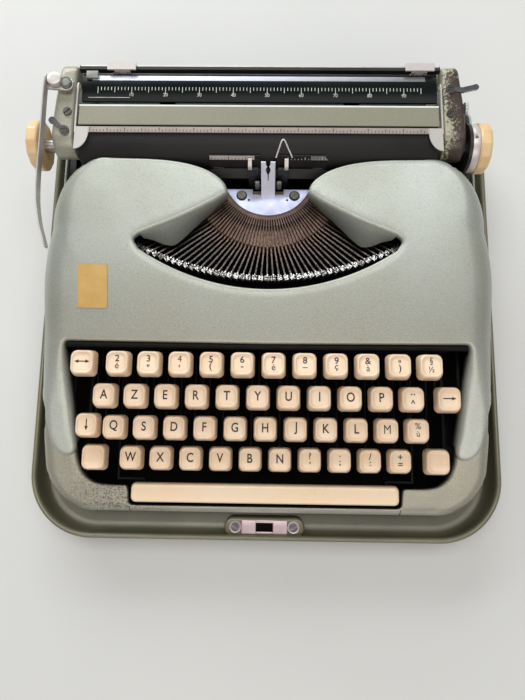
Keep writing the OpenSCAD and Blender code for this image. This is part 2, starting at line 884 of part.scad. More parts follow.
module cheek_side()
    difference() {
        union() {
            translate([cheek_front, bed_z])
                square([cheek_back - cheek_front, cheek_z - bed_z - 12]);
            translate([cheek_front + 12, bed_z])
                square([cheek_back - cheek_front - 12, cheek_z - bed_z - 7]);
            translate([cheek_front + 12, bed_z])
                square([cheek_back - cheek_front - 19, cheek_z - bed_z]);
            translate([cheek_front + 12, cheek_z - 12])
                circle(12);
            translate([cheek_back - 7, cheek_z - 7])
                circle(7);
        }
        translate([platen_y, platen_z])
            circle(shaft_r + pin_gap);
    }

// Cheek on the right side: tapered towards the back, with the bail pivot on its inside
module cheek() {
    difference() {
        intersection() {
            along_x(inner_x, 20)
                cheek_side();
            translate([0, 0, bed_z - 1])
                linear_extrude(60)
                    translate([inner_x, 0])
                        polygon([[-1, cheek_front - 2], [12.8, cheek_front - 2], [13.5, platen_y],
                            [12.4, 115], [9.8, cheek_back + 1], [-1, cheek_back + 1]]);
        }
        for (p = cheek_holes)
            translate([p[0], p[1], cheek_z - 9])
                cylinder(r = screw_r + pin_gap, h = 20);
    }
    rod_x(inner_x - 2.2, 3, bail_pin_r, bail_y, bail_z);
}

module left_cheek()
    color("DarkSeaGreen")
    on_carriage()
        mirror([1, 0, 0])
            cheek();

module right_cheek()
    color("DarkSeaGreen")
    on_carriage() {
        cheek();
        rod_x(inner_x + 7, 6.6, 4, release_y, release_z);
        rod_x(inner_x + 7, 8.6, 2, release_y, release_z);
    }

module cheek_screws()
    color("Silver")
    on_carriage() {
        for (sx = [-1, 1])
            translate([sx * cheek_screw[0], cheek_screw[1], cheek_z])
                rotate([0, 0, 40])
                    slotted_screw(2.6, 1.2, 7);
        translate([pivot_x, pivot_y, lever_z + 1.8])
            slotted_screw(3.4, 1.8, lever_z + 1.8 - cheek_z + 7);
        translate([spacing_x, spacing_y, cheek_z + 1.4])
            slotted_screw(2.2, 0.4, 8);
        translate([-pivot_x, pivot_y, cheek_z + 1.4])
            slotted_screw(2.2, 0.4, 8);
    }

module paper_table()
    color("DimGray")
    on_carriage() {
        along_x(-inner_x + 2.5, 2 * inner_x - 5) {
            intersection() {
                translate([125, 61.2])
                    difference() {
                        circle(37.5, $fn = 96);
                        circle(36.2, $fn = 96);
                    }
                translate([116, 90])
                    square([18, 12]);
            }
            translate([133.2, 94.5])
                square([1.2, 3.2]);
        }
        for (sx = [-1, 1])
            along_x(sx * 60 - 5, 10)
                translate([125, bed_z + bed_t])
                    square([1.4, 98 - bed_z - bed_t]);
    }

module paper_deflector()
    color("DarkSeaGreen")
    on_carriage() {
        along_x(3 - inner_x, 2 * inner_x - 6)
            polygon([[97, 102.2], [97, 103], [110.6, 102.6], [110.6, 101.6]]);
        for (sx = [-1, 1])
            along_x(sx * (inner_x - 13) - 3, 6)
                translate([109.4, bed_z + bed_t])
                    square([1.2, 102 - bed_z - bed_t]);
    }

module margin_rail()
    color("Silver")
    on_carriage()
        along_x(-inner_x, 2 * inner_x)
            translate([stop_rail[0], stop_rail[2]])
                square([stop_rail[1] - stop_rail[0], stop_rail[3] - stop_rail[2]]);

module margin_stop(x)
    color("Silver")
    on_carriage() {
        along_x(x - 5, 10)
            difference() {
                translate([stop_rail[0] - 1.2, stop_rail[2] - 1.2])
                    square([stop_rail[1] - stop_rail[0] + 2.4, stop_rail[3] - stop_rail[2] + 2.4]);
                translate([stop_rail[0] - slide_gap, stop_rail[2] - slide_gap])
                    square([stop_rail[1] - stop_rail[0] + 2 * slide_gap,
                        stop_rail[3] - stop_rail[2] + 2 * slide_gap]);
            }
        along_x(x - stop_w / 2, stop_w)
            translate([stop_rail[0] - 1.2, stop_rail[3] + 0.6])
                square([5.2, 1.2]);
    }

module margin_stop_left() margin_stop(27 - inner_x);
module margin_stop_right() margin_stop(inner_x - 13);

module platen()
    color("DimGray")
    on_carriage()
    difference() {
        rod_x(-platen_l / 2, platen_l, platen_r, platen_y, platen_z);
        rod_x(-platen_l, 2 * platen_l, shaft_r, platen_y, platen_z);
    }

module platen_shaft()
    color("Silver")
    on_carriage()
        rod_x(-knob_x + 2, 2 * knob_x - 4, shaft_r, platen_y, platen_z);

// Twelve-sided grip with a blind bore
module knob()
    difference() {
        rod_x(knob_x - knob_l, knob_l, knob_r, platen_y, platen_z, $fn = 12);
        rod_x(knob_x - knob_l - 1, knob_l - 1, shaft_r, platen_y, platen_z);
    }

module right_knob()
    color("BurlyWood")
    on_carriage()
        knob();

module left_knob()
    color("BurlyWood")
    on_carriage()
        mirror([1, 0, 0])
            knob();

module knob_drum()
    color("Silver")
    on_carriage()
    difference() {
        rod_x(ring_x + 2, knob_x - knob_l - ring_x - 2, platen_r - 0.6, platen_y, platen_z);
        rod_x(ring_x, 40, shaft_r, platen_y, platen_z);
        translate([ring_x + 4.2, platen_y, platen_z])
            cylinder(r = 1, h = 30);
    }

// Line ratchet on the left end of the platen, black friction ring outside the right cheek
module platen_end_rings()
    color("DimGray")
    on_carriage()
    difference() {
        union() {
            rod_x(-platen_l / 2 - 1.6, 1.6, 11, platen_y, platen_z);
            for (a = [0:15:345])
                translate([-platen_l / 2 - 1.6, platen_y, platen_z])
                    rotate([a, 0, 0])
                        translate([0, -0.8, 10])
                            cube([1.6, 1.6, 2]);
            rod_x(ring_x, 2, platen_r, platen_y, platen_z);
        }
        rod_x(-200, 400, shaft_r, platen_y, platen_z);
    }

module feed_roller()
    color("DimGray")
    on_carriage() {
        rod_x(-roller_half, 2 * roller_half, roller_r, roller_y, roller_z);
        rod_x(-roller_half - 2.5, 2 * roller_half + 5, 2, roller_y, roller_z);
    }

module paper_bail()
    color("Silver")
    on_carriage() {
        translate([-bail_half - 7.4, 92.4, platen_z + platen_r + 0.7])
            cube([2 * bail_half + 14.8, 3.6, bail_t]);
        for (sx = [0, 1])
            mirror([sx, 0, 0]) {
                translate([bail_half - 1.2, 0, platen_z + platen_r + 0.7])
                    linear_extrude(bail_t)
                        intersection() {
                            translate([8.6, 93.4])
                                scale([0.71, 1])
                                    circle(12);
                            translate([0, 80])
                                square([8.6, 16]);
                        }
                along_x(inner_x - 1.7, 1)
                    difference() {
                        union() {
                            polygon([[92.4, platen_z + platen_r + 0.7], [92.4, platen_z + platen_r + 1.5],
                                [bail_y, bail_z + 3], [bail_y, bail_z]]);
                            translate([bail_y, bail_z])
                                circle(3);
                        }
                        translate([bail_y, bail_z])
                            circle(bail_pin_r + pin_gap);
                    }
            }
    }

// Hub plate on the left cheek and an upright blade curving forward over the cover
module return_lever()
    color("Silver")
    on_carriage() {
        difference() {
            union() {
                translate([pivot_x, pivot_y, lever_z])
                    cylinder(r = 4.4, h = 1.6);
                translate([pivot_x - 12.1, pivot_y - 3.4, lever_z])
                    cube([12.1, 6.8, 1.6]);
            }
            translate([pivot_x, pivot_y, lever_z - 1])
                cylinder(r = screw_r + pin_gap, h = 10);
        }
        translate([pivot_x, 0, lever_z])
            linear_extrude(lever_h)
                polygon([[-12.7, pivot_y + 3.4], [-11.3, pivot_y + 3.4], [-11.3, 62], [-10.1, 45],
                    [-5.5, 24], [-3.1, 16.6], [-4.5, 16.2], [-6.9, 23.6], [-11.5, 44.6], [-12.7, 62]]);
        translate([pivot_x - 7, pivot_y, lever_z + 1])
            cylinder(r = 2.4, h = 2);
    }

module line_space_lever()
    color("Silver")
    on_carriage()
    translate([spacing_x, spacing_y, cheek_z + slide_gap])
        difference() {
            linear_extrude(1.2) {
                circle(3);
                rotate(50)
                    translate([-1.4, 0])
                        square([2.8, 10]);
                rotate(50)
                    translate([0, 10])
                        circle(2.2);
            }
            translate([0, 0, -1])
                cylinder(r = screw_r + pin_gap, h = 5);
        }

module paper_release_lever()
    color("Silver")
    on_carriage()
    translate([-pivot_x, pivot_y, cheek_z + slide_gap])
        difference() {
            linear_extrude(1.2) {
                circle(3);
                rotate(-98)
                    translate([-1.6, 0])
                        square([3.2, 8]);
                translate([7.4, -1])
                    rotate(-76)
                        translate([-1.7, 0])
                            square([3.4, 8]);
                translate([15.2, 1])
                    circle(1.9);
            }
            translate([0, 0, -1])
                cylinder(r = screw_r + pin_gap, h = 5);
        }

module carriage_release_lever()
    color("DarkSeaGreen")
    on_carriage()
    along_x(inner_x + 13.8, 1.5)
        difference() {
            union() {
                translate([release_y, release_z])
                    circle(5);
                polygon([[114.2, 84], [121.6, 84], [115.5, 98], [107.5, 98]]);
                translate([111.5, 98])
                    circle(4);
            }
            translate([release_y, release_z])
                circle(2 + pin_gap);
        }

base_tray();
tray_feet();
latch_plate();
latch_screws();
base_frame();
front_apron();
top_cover();
rear_cover();
key_rod();
basket_frame();
segment();
segment_plate();
segment_screws();
typebars();
type_rest();
card_holders();
carriage_rails();
ribbon();
ribbon_vibrator();
ribbon_spool_left();
ribbon_spool_right();
mainspring_drum();
number_row_caps();
number_row_levers();
top_row_caps();
top_row_levers();
home_row_caps();
home_row_levers();
bottom_row_caps();
bottom_row_levers();
space_bar();
space_bar_arms();
margin_release_key();
tab_key();
shift_lock_key();
shift_key_left();
shift_key_right();
shift_yoke();
carriage_bed();
left_cheek();
right_cheek();
cheek_screws();
paper_table();
paper_deflector();
margin_rail();
platen();
platen_shaft();
left_knob();
right_knob();
knob_drum();
platen_end_rings();
feed_roller();
paper_bail();
return_lever();
line_space_lever();
paper_release_lever();
carriage_release_lever();
margin_stop_left();
margin_stop_right();
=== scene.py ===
# %% [markdown]
# # Portable typewriter in its carrying tray
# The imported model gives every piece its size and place. This script gives the pieces
# their photographed forms and surfaces: pressed sheet covers, dished keys with legends,
# faceted knobs, scales, wires and worn enamel. Sizes are in millimetres, except where a
# section says metres.

import math
import random

import bmesh
import bpy
from mathutils import Matrix, Vector
from mathutils.geometry import delaunay_2d_cdt


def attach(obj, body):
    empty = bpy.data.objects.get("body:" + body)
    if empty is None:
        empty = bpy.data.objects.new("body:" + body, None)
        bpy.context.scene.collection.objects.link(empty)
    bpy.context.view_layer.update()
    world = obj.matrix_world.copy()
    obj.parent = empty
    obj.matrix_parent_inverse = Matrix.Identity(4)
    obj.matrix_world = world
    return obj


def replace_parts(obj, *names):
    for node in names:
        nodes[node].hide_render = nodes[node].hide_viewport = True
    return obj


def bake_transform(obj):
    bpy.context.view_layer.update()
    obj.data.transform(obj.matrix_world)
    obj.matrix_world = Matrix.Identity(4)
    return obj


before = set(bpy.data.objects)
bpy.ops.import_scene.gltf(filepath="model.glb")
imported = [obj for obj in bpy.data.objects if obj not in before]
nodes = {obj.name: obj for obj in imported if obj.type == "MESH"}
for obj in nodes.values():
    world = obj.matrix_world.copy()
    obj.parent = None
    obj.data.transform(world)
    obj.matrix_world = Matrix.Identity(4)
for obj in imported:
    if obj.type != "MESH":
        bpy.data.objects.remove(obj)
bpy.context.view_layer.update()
scene = bpy.context.scene
MM = 0.001

# %% [markdown]
# ## Sizes shared with the part's source
# The cover and the apron are drawn from the height formulas of the solids on a finer net,
# so the dressed sheet lies where its solid is. Only the back of the apron is drawn in a
# little, to meet the edge of the cover.

# %%
HALF_W = 144.0
ARM_Y = -101.0
ARM_ROUND, SIDE_ROUND, BACK_ROUND = 6.0, 19.0, 2.5
ROUND_FROM, ROUND_OVER = 26.0, 45.0
DECK_Y, DECK_Z = -32.0, 74.0
BACK_Y, RIDGE_Z = 79.5, 98.0
BACK_R, TAPER = 40.0, 6.0
CORNER_Y = BACK_Y - BACK_R
CORNER_X = HALF_W - TAPER - BACK_R
ARM_SLOPE = 0.348
FLANGE_Z = 14.0
APRON_FRONT, APRON_R, APRON_HALF = -139.0, 32.0, 145.5
APRON_CY = APRON_FRONT + APRON_R
APRON_CX = APRON_HALF - APRON_R
APRON_BACK, TAPER_FROM, APRON_TAPER = -66.0, -94.0, 1.45
APRON_SIDE_ROUND, APRON_FRONT_ROUND = 8.0, 5.0
FRONT_RAMP, SIDE_RAMP = (40.0, 0.42, -120.0), (52.7, 0.27, -84.0)
LIP_DROP = 3.2
ARC_R, ARC_Y, ARC_HALF = 146.4, 147.4, 33.1
PITCH, ROW_PITCH, ROW_RISE = 19.05, 19.1, 8.7
ROW_Y, ROW_Z = -46.0, 80.0
CAP_W, CAP_H, SHIFT_W = 15.8, 7.8, 16.8
CAP_X = 0.955
CARRIAGE_X = -6.5
INNER_X = 113.0
PLATEN_Y, PLATEN_Z, PLATEN_R = 92.0, 86.0, 15.0
CHEEK_Z = 102.4
LETTER = 25.4 / 12


def ease(t):
    """From 0 to 1 with a soft start and end."""
    t = min(1.0, max(0.0, t))
    return t * t * (3 - 2 * t)


def round_off(r, d):
    """How far an edge rounded to r has dropped at the distance d from the edge."""
    if d >= r:
        return 0.0
    return r - math.sqrt(max(0.0, r * r - (r - max(0.0, d)) ** 2))


def crown_z(y):
    slope = ARM_SLOPE if y < DECK_Y else (RIDGE_Z - DECK_Z) / (BACK_Y - DECK_Y)
    return DECK_Z + slope * (y - DECK_Y)


def cover_half(y):
    if y < 0:
        return HALF_W
    if y < CORNER_Y:
        return HALF_W - TAPER * (y / CORNER_Y) ** 2
    return CORNER_X + math.sqrt(max(0.0, BACK_R**2 - (y - CORNER_Y) ** 2))


def cover_z(x, y):
    x = abs(x)
    if y < CORNER_Y:
        edge = cover_half(y) - x
        share = min(1.0, max(0.0, (y - ARM_Y - ROUND_FROM) / ROUND_OVER))
        r = ARM_ROUND + (SIDE_ROUND - ARM_ROUND) * share
    else:
        edge = BACK_Y - y
        if x > CORNER_X:
            edge = BACK_R - math.hypot(x - CORNER_X, y - CORNER_Y)
        turn = math.degrees(math.atan2(y - CORNER_Y, max(0.001, x - CORNER_X)))
        r = SIDE_ROUND + (BACK_ROUND - SIDE_ROUND) * ease(turn / 90)
    return crown_z(y) - round_off(r, edge)


def apron_half(y):
    if y > APRON_CY:
        return APRON_HALF - APRON_TAPER * max(0.0, (y - TAPER_FROM) / (APRON_BACK - TAPER_FROM))
    return APRON_CX + math.sqrt(max(0.0, APRON_R**2 - (APRON_CY - y) ** 2))


def ramp_z(ramp, y):
    height, slope, at = ramp
    return height + slope * (y - at)


def apron_z(x, y):
    x = abs(x)
    top = min(ramp_z(FRONT_RAMP, y), crown_z(y) - LIP_DROP, ramp_z(SIDE_RAMP, y))
    if y > APRON_CY:
        return top - round_off(APRON_SIDE_ROUND, apron_half(y) - x)
    edge = y - APRON_FRONT
    if x > APRON_CX:
        edge = APRON_R - math.hypot(x - APRON_CX, APRON_CY - y)
    turn = math.degrees(math.atan2(APRON_CY - y, max(0.001, x - APRON_CX)))
    r = APRON_SIDE_ROUND + (APRON_FRONT_ROUND - APRON_SIDE_ROUND) * ease(turn / 90)
    return top - round_off(r, edge)


# %% [markdown]
# ## Surfaces
# One helper adds shader nodes. Most finishes are the same recipe with other numbers: a
# broad patchy change of tone, a fine grain that also gives the bump, and a roughness that
# follows the patches. Pattern sizes are given in millimetres.

# %%
def linear(code):
    """An sRGB hex colour as linear RGBA."""
    out = []
    for k in (1, 3, 5):
        c = int(code[k:k + 2], 16) / 255
        out.append(c / 12.92 if c <= 0.04045 else ((c + 0.055) / 1.055) ** 2.4)
    return (*out, 1.0)


def add(tree, kind, inputs=None, **settings):
    """A new node; inputs are values or sockets by name or number."""
    node = tree.nodes.new(kind)
    for key, value in settings.items():
        setattr(node, key, value)
    for key, value in (inputs or {}).items():
        if isinstance(value, bpy.types.NodeSocket):
            tree.links.new(value, node.inputs[key])
        else:
            node.inputs[key].default_value = value
    return node


def noise(tree, where, size, detail=3.0, rough=0.55):
    made = add(tree, "ShaderNodeTexNoise",
               {"Vector": where, "Scale": 1 / (size * MM), "Detail": detail, "Roughness": rough})
    return made.outputs["Fac"]


def span(tree, value, low, high, to_low=0.0, to_high=1.0):
    made = add(tree, "ShaderNodeMapRange",
               {"Value": value, "From Min": low, "From Max": high,
                "To Min": to_low, "To Max": to_high})
    return made.outputs["Result"]


def mix(tree, factor, a, b):
    made = add(tree, "ShaderNodeMix", {0: factor, 6: a, 7: b}, data_type="RGBA")
    return made.outputs[2]


def maths(tree, operation, *values):
    made = add(tree, "ShaderNodeMath", dict(enumerate(values)), operation=operation)
    return made.outputs["Value"]


def distance(tree, where, place):
    made = add(tree, "ShaderNodeVectorMath", {0: where, 1: place}, operation="DISTANCE")
    return made.outputs["Value"]


def axes(tree, where):
    return add(tree, "ShaderNodeSeparateXYZ", {"Vector": where}).outputs


def start(name):
    """An empty material, its tree and the object coordinates."""
    mat = bpy.data.materials.new(name)
    mat.use_nodes = True
    mat.node_tree.nodes.clear()
    where = add(mat.node_tree, "ShaderNodeTexCoord").outputs["Object"]
    return mat, mat.node_tree, where


def close(tree, colour, rough, height=None, depth=0.02, **more):
    """The shader and the output; depth is the height of the bump."""
    shader = add(tree, "ShaderNodeBsdfPrincipled", {"Base Color": colour, "Roughness": rough})
    for key, value in more.items():
        shader.inputs[key.replace("_", " ")].default_value = value
    if height is not None:
        bump = add(tree, "ShaderNodeBump", {"Height": height, "Distance": depth * MM})
        tree.links.new(bump.outputs["Normal"], shader.inputs["Normal"])
    add(tree, "ShaderNodeOutputMaterial", {"Surface": shader.outputs["BSDF"]})


def finish(name, light, dark, patch=25.0, grain=0.8, rough=(0.3, 0.5), depth=0.01, **more):
    """The usual recipe: patches of tone over a fine grain."""
    mat, tree, where = start(name)
    patches = noise(tree, where, patch, 4)
    fine = noise(tree, where, grain)
    colour = mix(tree, span(tree, patches, 0.3, 0.7), linear(light), linear(dark))
    close(tree, colour, span(tree, patches, 0.3, 0.7, *rough), fine, depth, **more)
    return mat


def brushed(name, light, dark, rough, stretch, grain):
    """Metal with a grain drawn out along one axis."""
    mat, tree, where = start(name)
    drawn = add(tree, "ShaderNodeMapping", {"Vector": where, "Scale": stretch}).outputs["Vector"]
    lines = noise(tree, drawn, grain, 4, 0.6)
    patches = noise(tree, where, 14, 3)
    colour = mix(tree, span(tree, patches, 0.3, 0.75), linear(light), linear(dark))
    close(tree, colour, span(tree, lines, 0.3, 0.7, *rough), lines, 0.004, Metallic=1.0)
    return mat


# %% [markdown]
# ### Crinkle enamel
# The covers are sprayed with a pale sage metallic enamel that dries to a fine crinkle.
# Small bright flakes and darker pinholes sit in the crinkle, years of use leave broad warm
# and cool patches, and grit shows on the front left corner. The paint is darker and warmer
# towards the keys as painted shade, and paler on the two arms as a painted highlight. The
# sixth setting is the share of both, and edge that of a painted highlight on the front lip;
# places in a material are in metres.

# %%
FRONT_LEFT = (-0.095, -0.125, 0.038)


def enamel(name="sage_crinkle_enamel", light="#BDC4BD", dark="#ADB0A4", metal=0.4, speck=0.5,
           age=0.55, edge=0.0):
    mat, tree, where = start(name)
    broad = noise(tree, where, 70, 3)
    crinkle = noise(tree, where, 0.7, 3, 0.65)
    flakes = noise(tree, where, 0.45, 1)
    spot = axes(tree, where)
    colour = mix(tree, span(tree, broad, 0.3, 0.7), linear(light), linear(dark))
    # Painted shade: the enamel grows darker and warmer towards the keys.
    colour = mix(tree, span(tree, spot["Y"], 0.07, -0.03, 0.0, age), colour, linear("#8C8576"))
    # Painted highlight: the enamel is paler on the two arms.
    arms = maths(tree, "MULTIPLY", span(tree, maths(tree, "ABSOLUTE", spot["X"]), 0.112, 0.128),
                 span(tree, spot["Y"], -0.015, -0.06, 0.0, 1.1 * age))
    colour = mix(tree, arms, colour, linear("#C3C8C2"))
    # Painted highlight along the front lip of the apron.
    lip = span(tree, spot["Y"], -0.1345, -0.1375, 0.0, edge)
    colour = mix(tree, lip, colour, linear("#D9D6CC"))
    colour = mix(tree, span(tree, crinkle, 0.46, 0.3, 0.0, speck), colour, linear("#6B6A5F"))
    colour = mix(tree, span(tree, flakes, 0.58, 0.7, 0.0, speck), colour, linear("#D3D6CF"))
    corner = distance(tree, where, FRONT_LEFT)
    grit = maths(tree, "MULTIPLY", span(tree, noise(tree, where, 1.3, 2), 0.48, 0.62),
                 span(tree, corner, 0.045, 0.012, 0.0, 0.8))
    colour = mix(tree, grit, colour, linear("#57493A"))
    rough = span(tree, broad, 0.3, 0.7, 0.36, 0.46)
    close(tree, colour, rough, crinkle, 0.05, Metallic=metal, Coat_Weight=0.2, Coat_Roughness=0.25)
    return mat


def worn_enamel():
    """The same enamel on the right cheek, rubbed through to brown primer."""
    mat, tree, where = start("worn_enamel_on_primer")
    wear = noise(tree, where, 22, 4)
    chips = noise(tree, where, 1.6, 6, 0.75)
    inner = span(tree, axes(tree, where)["X"], 0.107, 0.117, 0.12, -0.1)
    left = maths(tree, "ADD", chips, inner)
    patchy = maths(tree, "ADD", left, span(tree, wear, 0.35, 0.65, -0.1, 0.1))
    colour = mix(tree, span(tree, patchy, 0.5, 0.57), linear("#43362F"), linear("#A9A68C"))
    close(tree, colour, span(tree, chips, 0.4, 0.6, 0.3, 0.5), chips, 0.05, Coat_Weight=0.15)
    return mat


ENAMEL = enamel()
# A darker copy of the enamel for the apron and the left cheek, with a painted highlight on the apron's front lip.
DARKER_ENAMEL = enamel("handled_crinkle_enamel", "#A5A294", "#989482", 0.35, 0.5, 0.0, 0.8)
# The deflector's enamel: partly its own duller sage, partly painted shade darkening it.
DULL_SAGE_AND_SHADE = enamel("dull_sage_enamel", "#908E7C", "#858370", 0.2, 0.15, 0.0)
WORN = worn_enamel()
OLIVE = finish("olive_enamel", "#7C7963", "#6D6A56", 60, 1.6, (0.3, 0.42), 0.012,
               Metallic=0.2, Coat_Weight=0.25, Coat_Roughness=0.2)
JAPAN = finish("black_japan", "#141312", "#201E1C", 18, 0.7, (0.35, 0.6), 0.008)
GLOSS = finish("black_gloss_enamel", "#0C1110", "#121716", 30, 2.5, (0.2, 0.28), 0.001,
               Specular_IOR_Level=0.12)
TRIM = finish("black_trim", "#060505", "#0B0A09", 20, 1.5, (0.45, 0.55), 0.004,
              Specular_IOR_Level=0.15)
LEVERS = finish("black_levers", "#050505", "#0B0A09", 18, 0.7, (0.55, 0.75), 0.004,
                Specular_IOR_Level=0.2)
PALE = finish("pale_lacquer", "#D9D2CF", "#C8C0BC", 6, 0.8, (0.3, 0.42), 0.004, Metallic=0.3)
# Near-black without shine: painted shade on the strip in front of the basket, plain black on the basket frame and
# type rest.
MATT_BLACK_AND_SHADE = finish("oiled_black", "#030303", "#070606", 18, 0.7, (0.8, 0.95), 0.004,
              Specular_IOR_Level=0.02)
# Near-black with little shine, for sheets that stand in for shade.
BLACK_SHADE_SHEET = finish("black_felt", "#080707", "#100E0D", 20, 0.6, (0.8, 0.95), 0.1,
               Specular_IOR_Level=0.06)
DEEP = {"Subsurface_Weight": 0.08, "Subsurface_Radius": (0.003, 0.002, 0.001)}
# The key ivory made lighter for the space bar: painted light, not a different plastic.
LIT_IVORY = finish("rubbed_ivory_plastic", "#F8E0C4", "#F4D8B4", 22, 3.0, (0.2, 0.28), 0.002,
                Coat_Weight=0.3, Coat_Roughness=0.15, **DEEP)
IVORY = finish("ivory_plastic", "#ECD2B5", "#E6C7A5", 22, 3.0, (0.22, 0.3), 0.002,
               Coat_Weight=0.3, Coat_Roughness=0.15, **DEEP)
CREAM = finish("cream_plastic", "#EDD0A4", "#E0B985", 14, 2.5, (0.25, 0.36), 0.003,
               Coat_Weight=0.25, Coat_Roughness=0.2, **DEEP)
RUBBER = finish("platen_rubber", "#1A1818", "#242121", 30, 0.8, (0.5, 0.62), 0.006,
                Specular_IOR_Level=0.3)
FOOT = finish("foot_rubber", "#1A1918", "#262423", 10, 0.6, (0.7, 0.85), 0.02)
INK = finish("key_ink", "#17130F", "#241C16", 5, 0.6, (0.4, 0.5), 0.002)
PAINT = finish("scale_paint", "#D9DBD2", "#B9BBB0", 6, 0.6, (0.5, 0.6), 0.002)
CHROME = brushed("satin_chrome", "#B9B9B9", "#969492", (0.12, 0.26), (1, 1, 1), 0.4)
STEEL = brushed("drawn_steel", "#B4B2AE", "#8C8680", (0.28, 0.45), (0.05, 1, 1), 0.6)
# Bright metal whose bluish-white tone is a painted reflection of the window.
PLATE = finish("bright_plate", "#C6CCE6", "#B4BAD4", 9, 0.4, (0.3, 0.42), 0.004, Metallic=0.5)
BLUED = brushed("oiled_steel", "#77746F", "#4E4A46", (0.25, 0.4), (1, 1, 1), 0.5)
FORK = finish("white_nickel", "#E4E5F2", "#D3D4E6", 9, 0.4, (0.35, 0.45), 0.004)
BLADE = finish("polished_blade", "#C9C6C2", "#A9A5A0", 12, 0.5, (0.25, 0.4), 0.003, Metallic=0.5)
ROSY = finish("rosy_chrome", "#E2CBCD", "#C9B0B4", 10, 0.5, (0.25, 0.38), 0.003, Metallic=0.4)
# A pale finish for strips painted as highlights.
GLINT = finish("worn_bright_edge", "#E6EEE8", "#D5DDD6", 10, 0.6, (0.35, 0.45), 0.003)
BRASS = finish("brass_plate", "#D9B470", "#C8A05C", 12, 0.5, (0.3, 0.42), 0.004, Metallic=0.35)
GREY = finish("grey_lacquer", "#8E908A", "#7C7D77", 9, 0.6, (0.35, 0.5), 0.006, Metallic=0.4)


# %% [markdown]
# ### Oiled type steel and inked ribbon
# The bars are brown with old oil in the slotted segment and bright where they lie over the
# dark basket, so the tone follows the distance from the middle of the segment.

# %%
SEGMENT_MIDDLE = (0.0, 0.0804, 0.07)


def bar_steel():
    mat, tree, where = start("oiled_type_steel")
    away = distance(tree, where, SEGMENT_MIDDLE)
    fine = noise(tree, where, 1.2, 3)
    colour = mix(tree, span(tree, away, 0.046, 0.062), linear("#7A6358"), linear("#5E5955"))
    colour = mix(tree, span(tree, fine, 0.45, 0.7, 0.0, 0.7), colour, linear("#241F1C"))
    close(tree, colour, span(tree, fine, 0.3, 0.7, 0.25, 0.45), fine, 0.004, Metallic=0.9)
    return mat


def segment_metal():
    mat, tree, where = start("oiled_bronze")
    patches = noise(tree, where, 6, 4)
    fine = noise(tree, where, 0.5, 3)
    colour = mix(tree, span(tree, patches, 0.3, 0.7), linear("#7D665B"), linear("#54433B"))
    close(tree, colour, span(tree, fine, 0.3, 0.7, 0.35, 0.55), fine, 0.006, Metallic=0.6)
    return mat


def type_metal():
    """Bright type with old ink in its hollows."""
    mat, tree, where = start("inked_type_nickel")
    ink = noise(tree, where, 1.1, 3, 0.7)
    colour = mix(tree, span(tree, ink, 0.47, 0.56), linear("#DAD9D6"), linear("#15120F"))
    close(tree, colour, span(tree, ink, 0.45, 0.6, 0.25, 0.6), ink, 0.02, Metallic=0.8)
    return mat


def bail_metal():
    """Dull scale strip with pale end flags."""
    mat, tree, where = start("scale_alloy")
    patches = noise(tree, where, 12, 4)
    fine = noise(tree, where, 0.4)
    off = maths(tree, "ADD", axes(tree, where)["X"], -CARRIAGE_X * MM)
    out = maths(tree, "ABSOLUTE", off)
    colour = mix(tree, span(tree, patches, 0.3, 0.7), linear("#A99E98"), linear("#948A84"))
    colour = mix(tree, span(tree, out, 0.1025, 0.1045), colour, linear("#BDBAB4"))
    close(tree, colour, span(tree, patches, 0.3, 0.7, 0.38, 0.5), fine, 0.004, Metallic=0.4)
    return mat


def band_metal():
    """A painted reflection of the window along the back of the paper table, fading to the right."""
    mat, tree, where = start("bright_band")
    fine = noise(tree, where, 1.5, 3)
    reflection_fade = span(tree, axes(tree, where)["X"], -0.07, 0.08)
    colour = mix(tree, reflection_fade, linear("#C6C8D8"), linear("#77757A"))
    close(tree, colour, span(tree, fine, 0.3, 0.7, 0.3, 0.45), fine, 0.004, Metallic=0.4)
    return mat


def ribbon_cloth():
    mat, tree, where = start("inked_ribbon_cloth")
    weave = add(tree, "ShaderNodeTexWave", {"Vector": where, "Scale": 1 / (0.9 * MM),
                                            "Distortion": 1.5}, bands_direction="Z")
    patches = noise(tree, where, 9, 3)
    colour = mix(tree, span(tree, patches, 0.3, 0.7), linear("#1D1815"), linear("#2B2320"))
    close(tree, colour, 0.8, weave.outputs["Fac"], 0.03, Sheen_Weight=0.3)
    return mat


BARS = bar_steel()
NICKEL = type_metal()
BRONZE = segment_metal()
ALLOY = bail_metal()
PAINTED_REFLECTION = band_metal()
CLOTH = ribbon_cloth()


# %% [markdown]
# ## Making meshes
# A shape is a pair of lists, points in millimetres and faces. Lofts skin over rings of
# points, tubes follow a path, plates are bevelled outlines, and make() turns a shape into
# a piece of the model.

# %%
def make(name, shape, material, body, sharp=40.0):
    verts, faces = shape
    mesh = bpy.data.meshes.new(name)
    mesh.from_pydata([(x * MM, y * MM, z * MM) for x, y, z in verts], [], faces)
    mesh.update()
    mesh.shade_smooth()
    mesh.set_sharp_from_angle(angle=math.radians(sharp))
    mesh.materials.append(material)
    obj = bpy.data.objects.new(name, mesh)
    scene.collection.objects.link(obj)
    if body:
        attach(obj, body)
    return obj


def merge(*shapes):
    verts, faces = [], []
    for v, f in shapes:
        base = len(verts)
        verts.extend(v)
        faces.extend(tuple(i + base for i in face) for face in f)
    return verts, faces


def moved(shape, x=0.0, y=0.0, z=0.0, turn=0.0):
    c, s = math.cos(math.radians(turn)), math.sin(math.radians(turn))
    return [(x + c * a - s * b, y + s * a + c * b, z + h) for a, b, h in shape[0]], shape[1]


def flipped(shape):
    return shape[0], [tuple(reversed(f)) for f in shape[1]]


def mirrored(shape):
    return flipped(([(-x, y, z) for x, y, z in shape[0]], shape[1]))


def turns(sides):
    return [2 * math.pi * i / sides for i in range(sides)]


def neighbours(path, k):
    """The points before and after point k of an open path."""
    return path[max(k - 1, 0)], path[min(k + 1, len(path) - 1)]


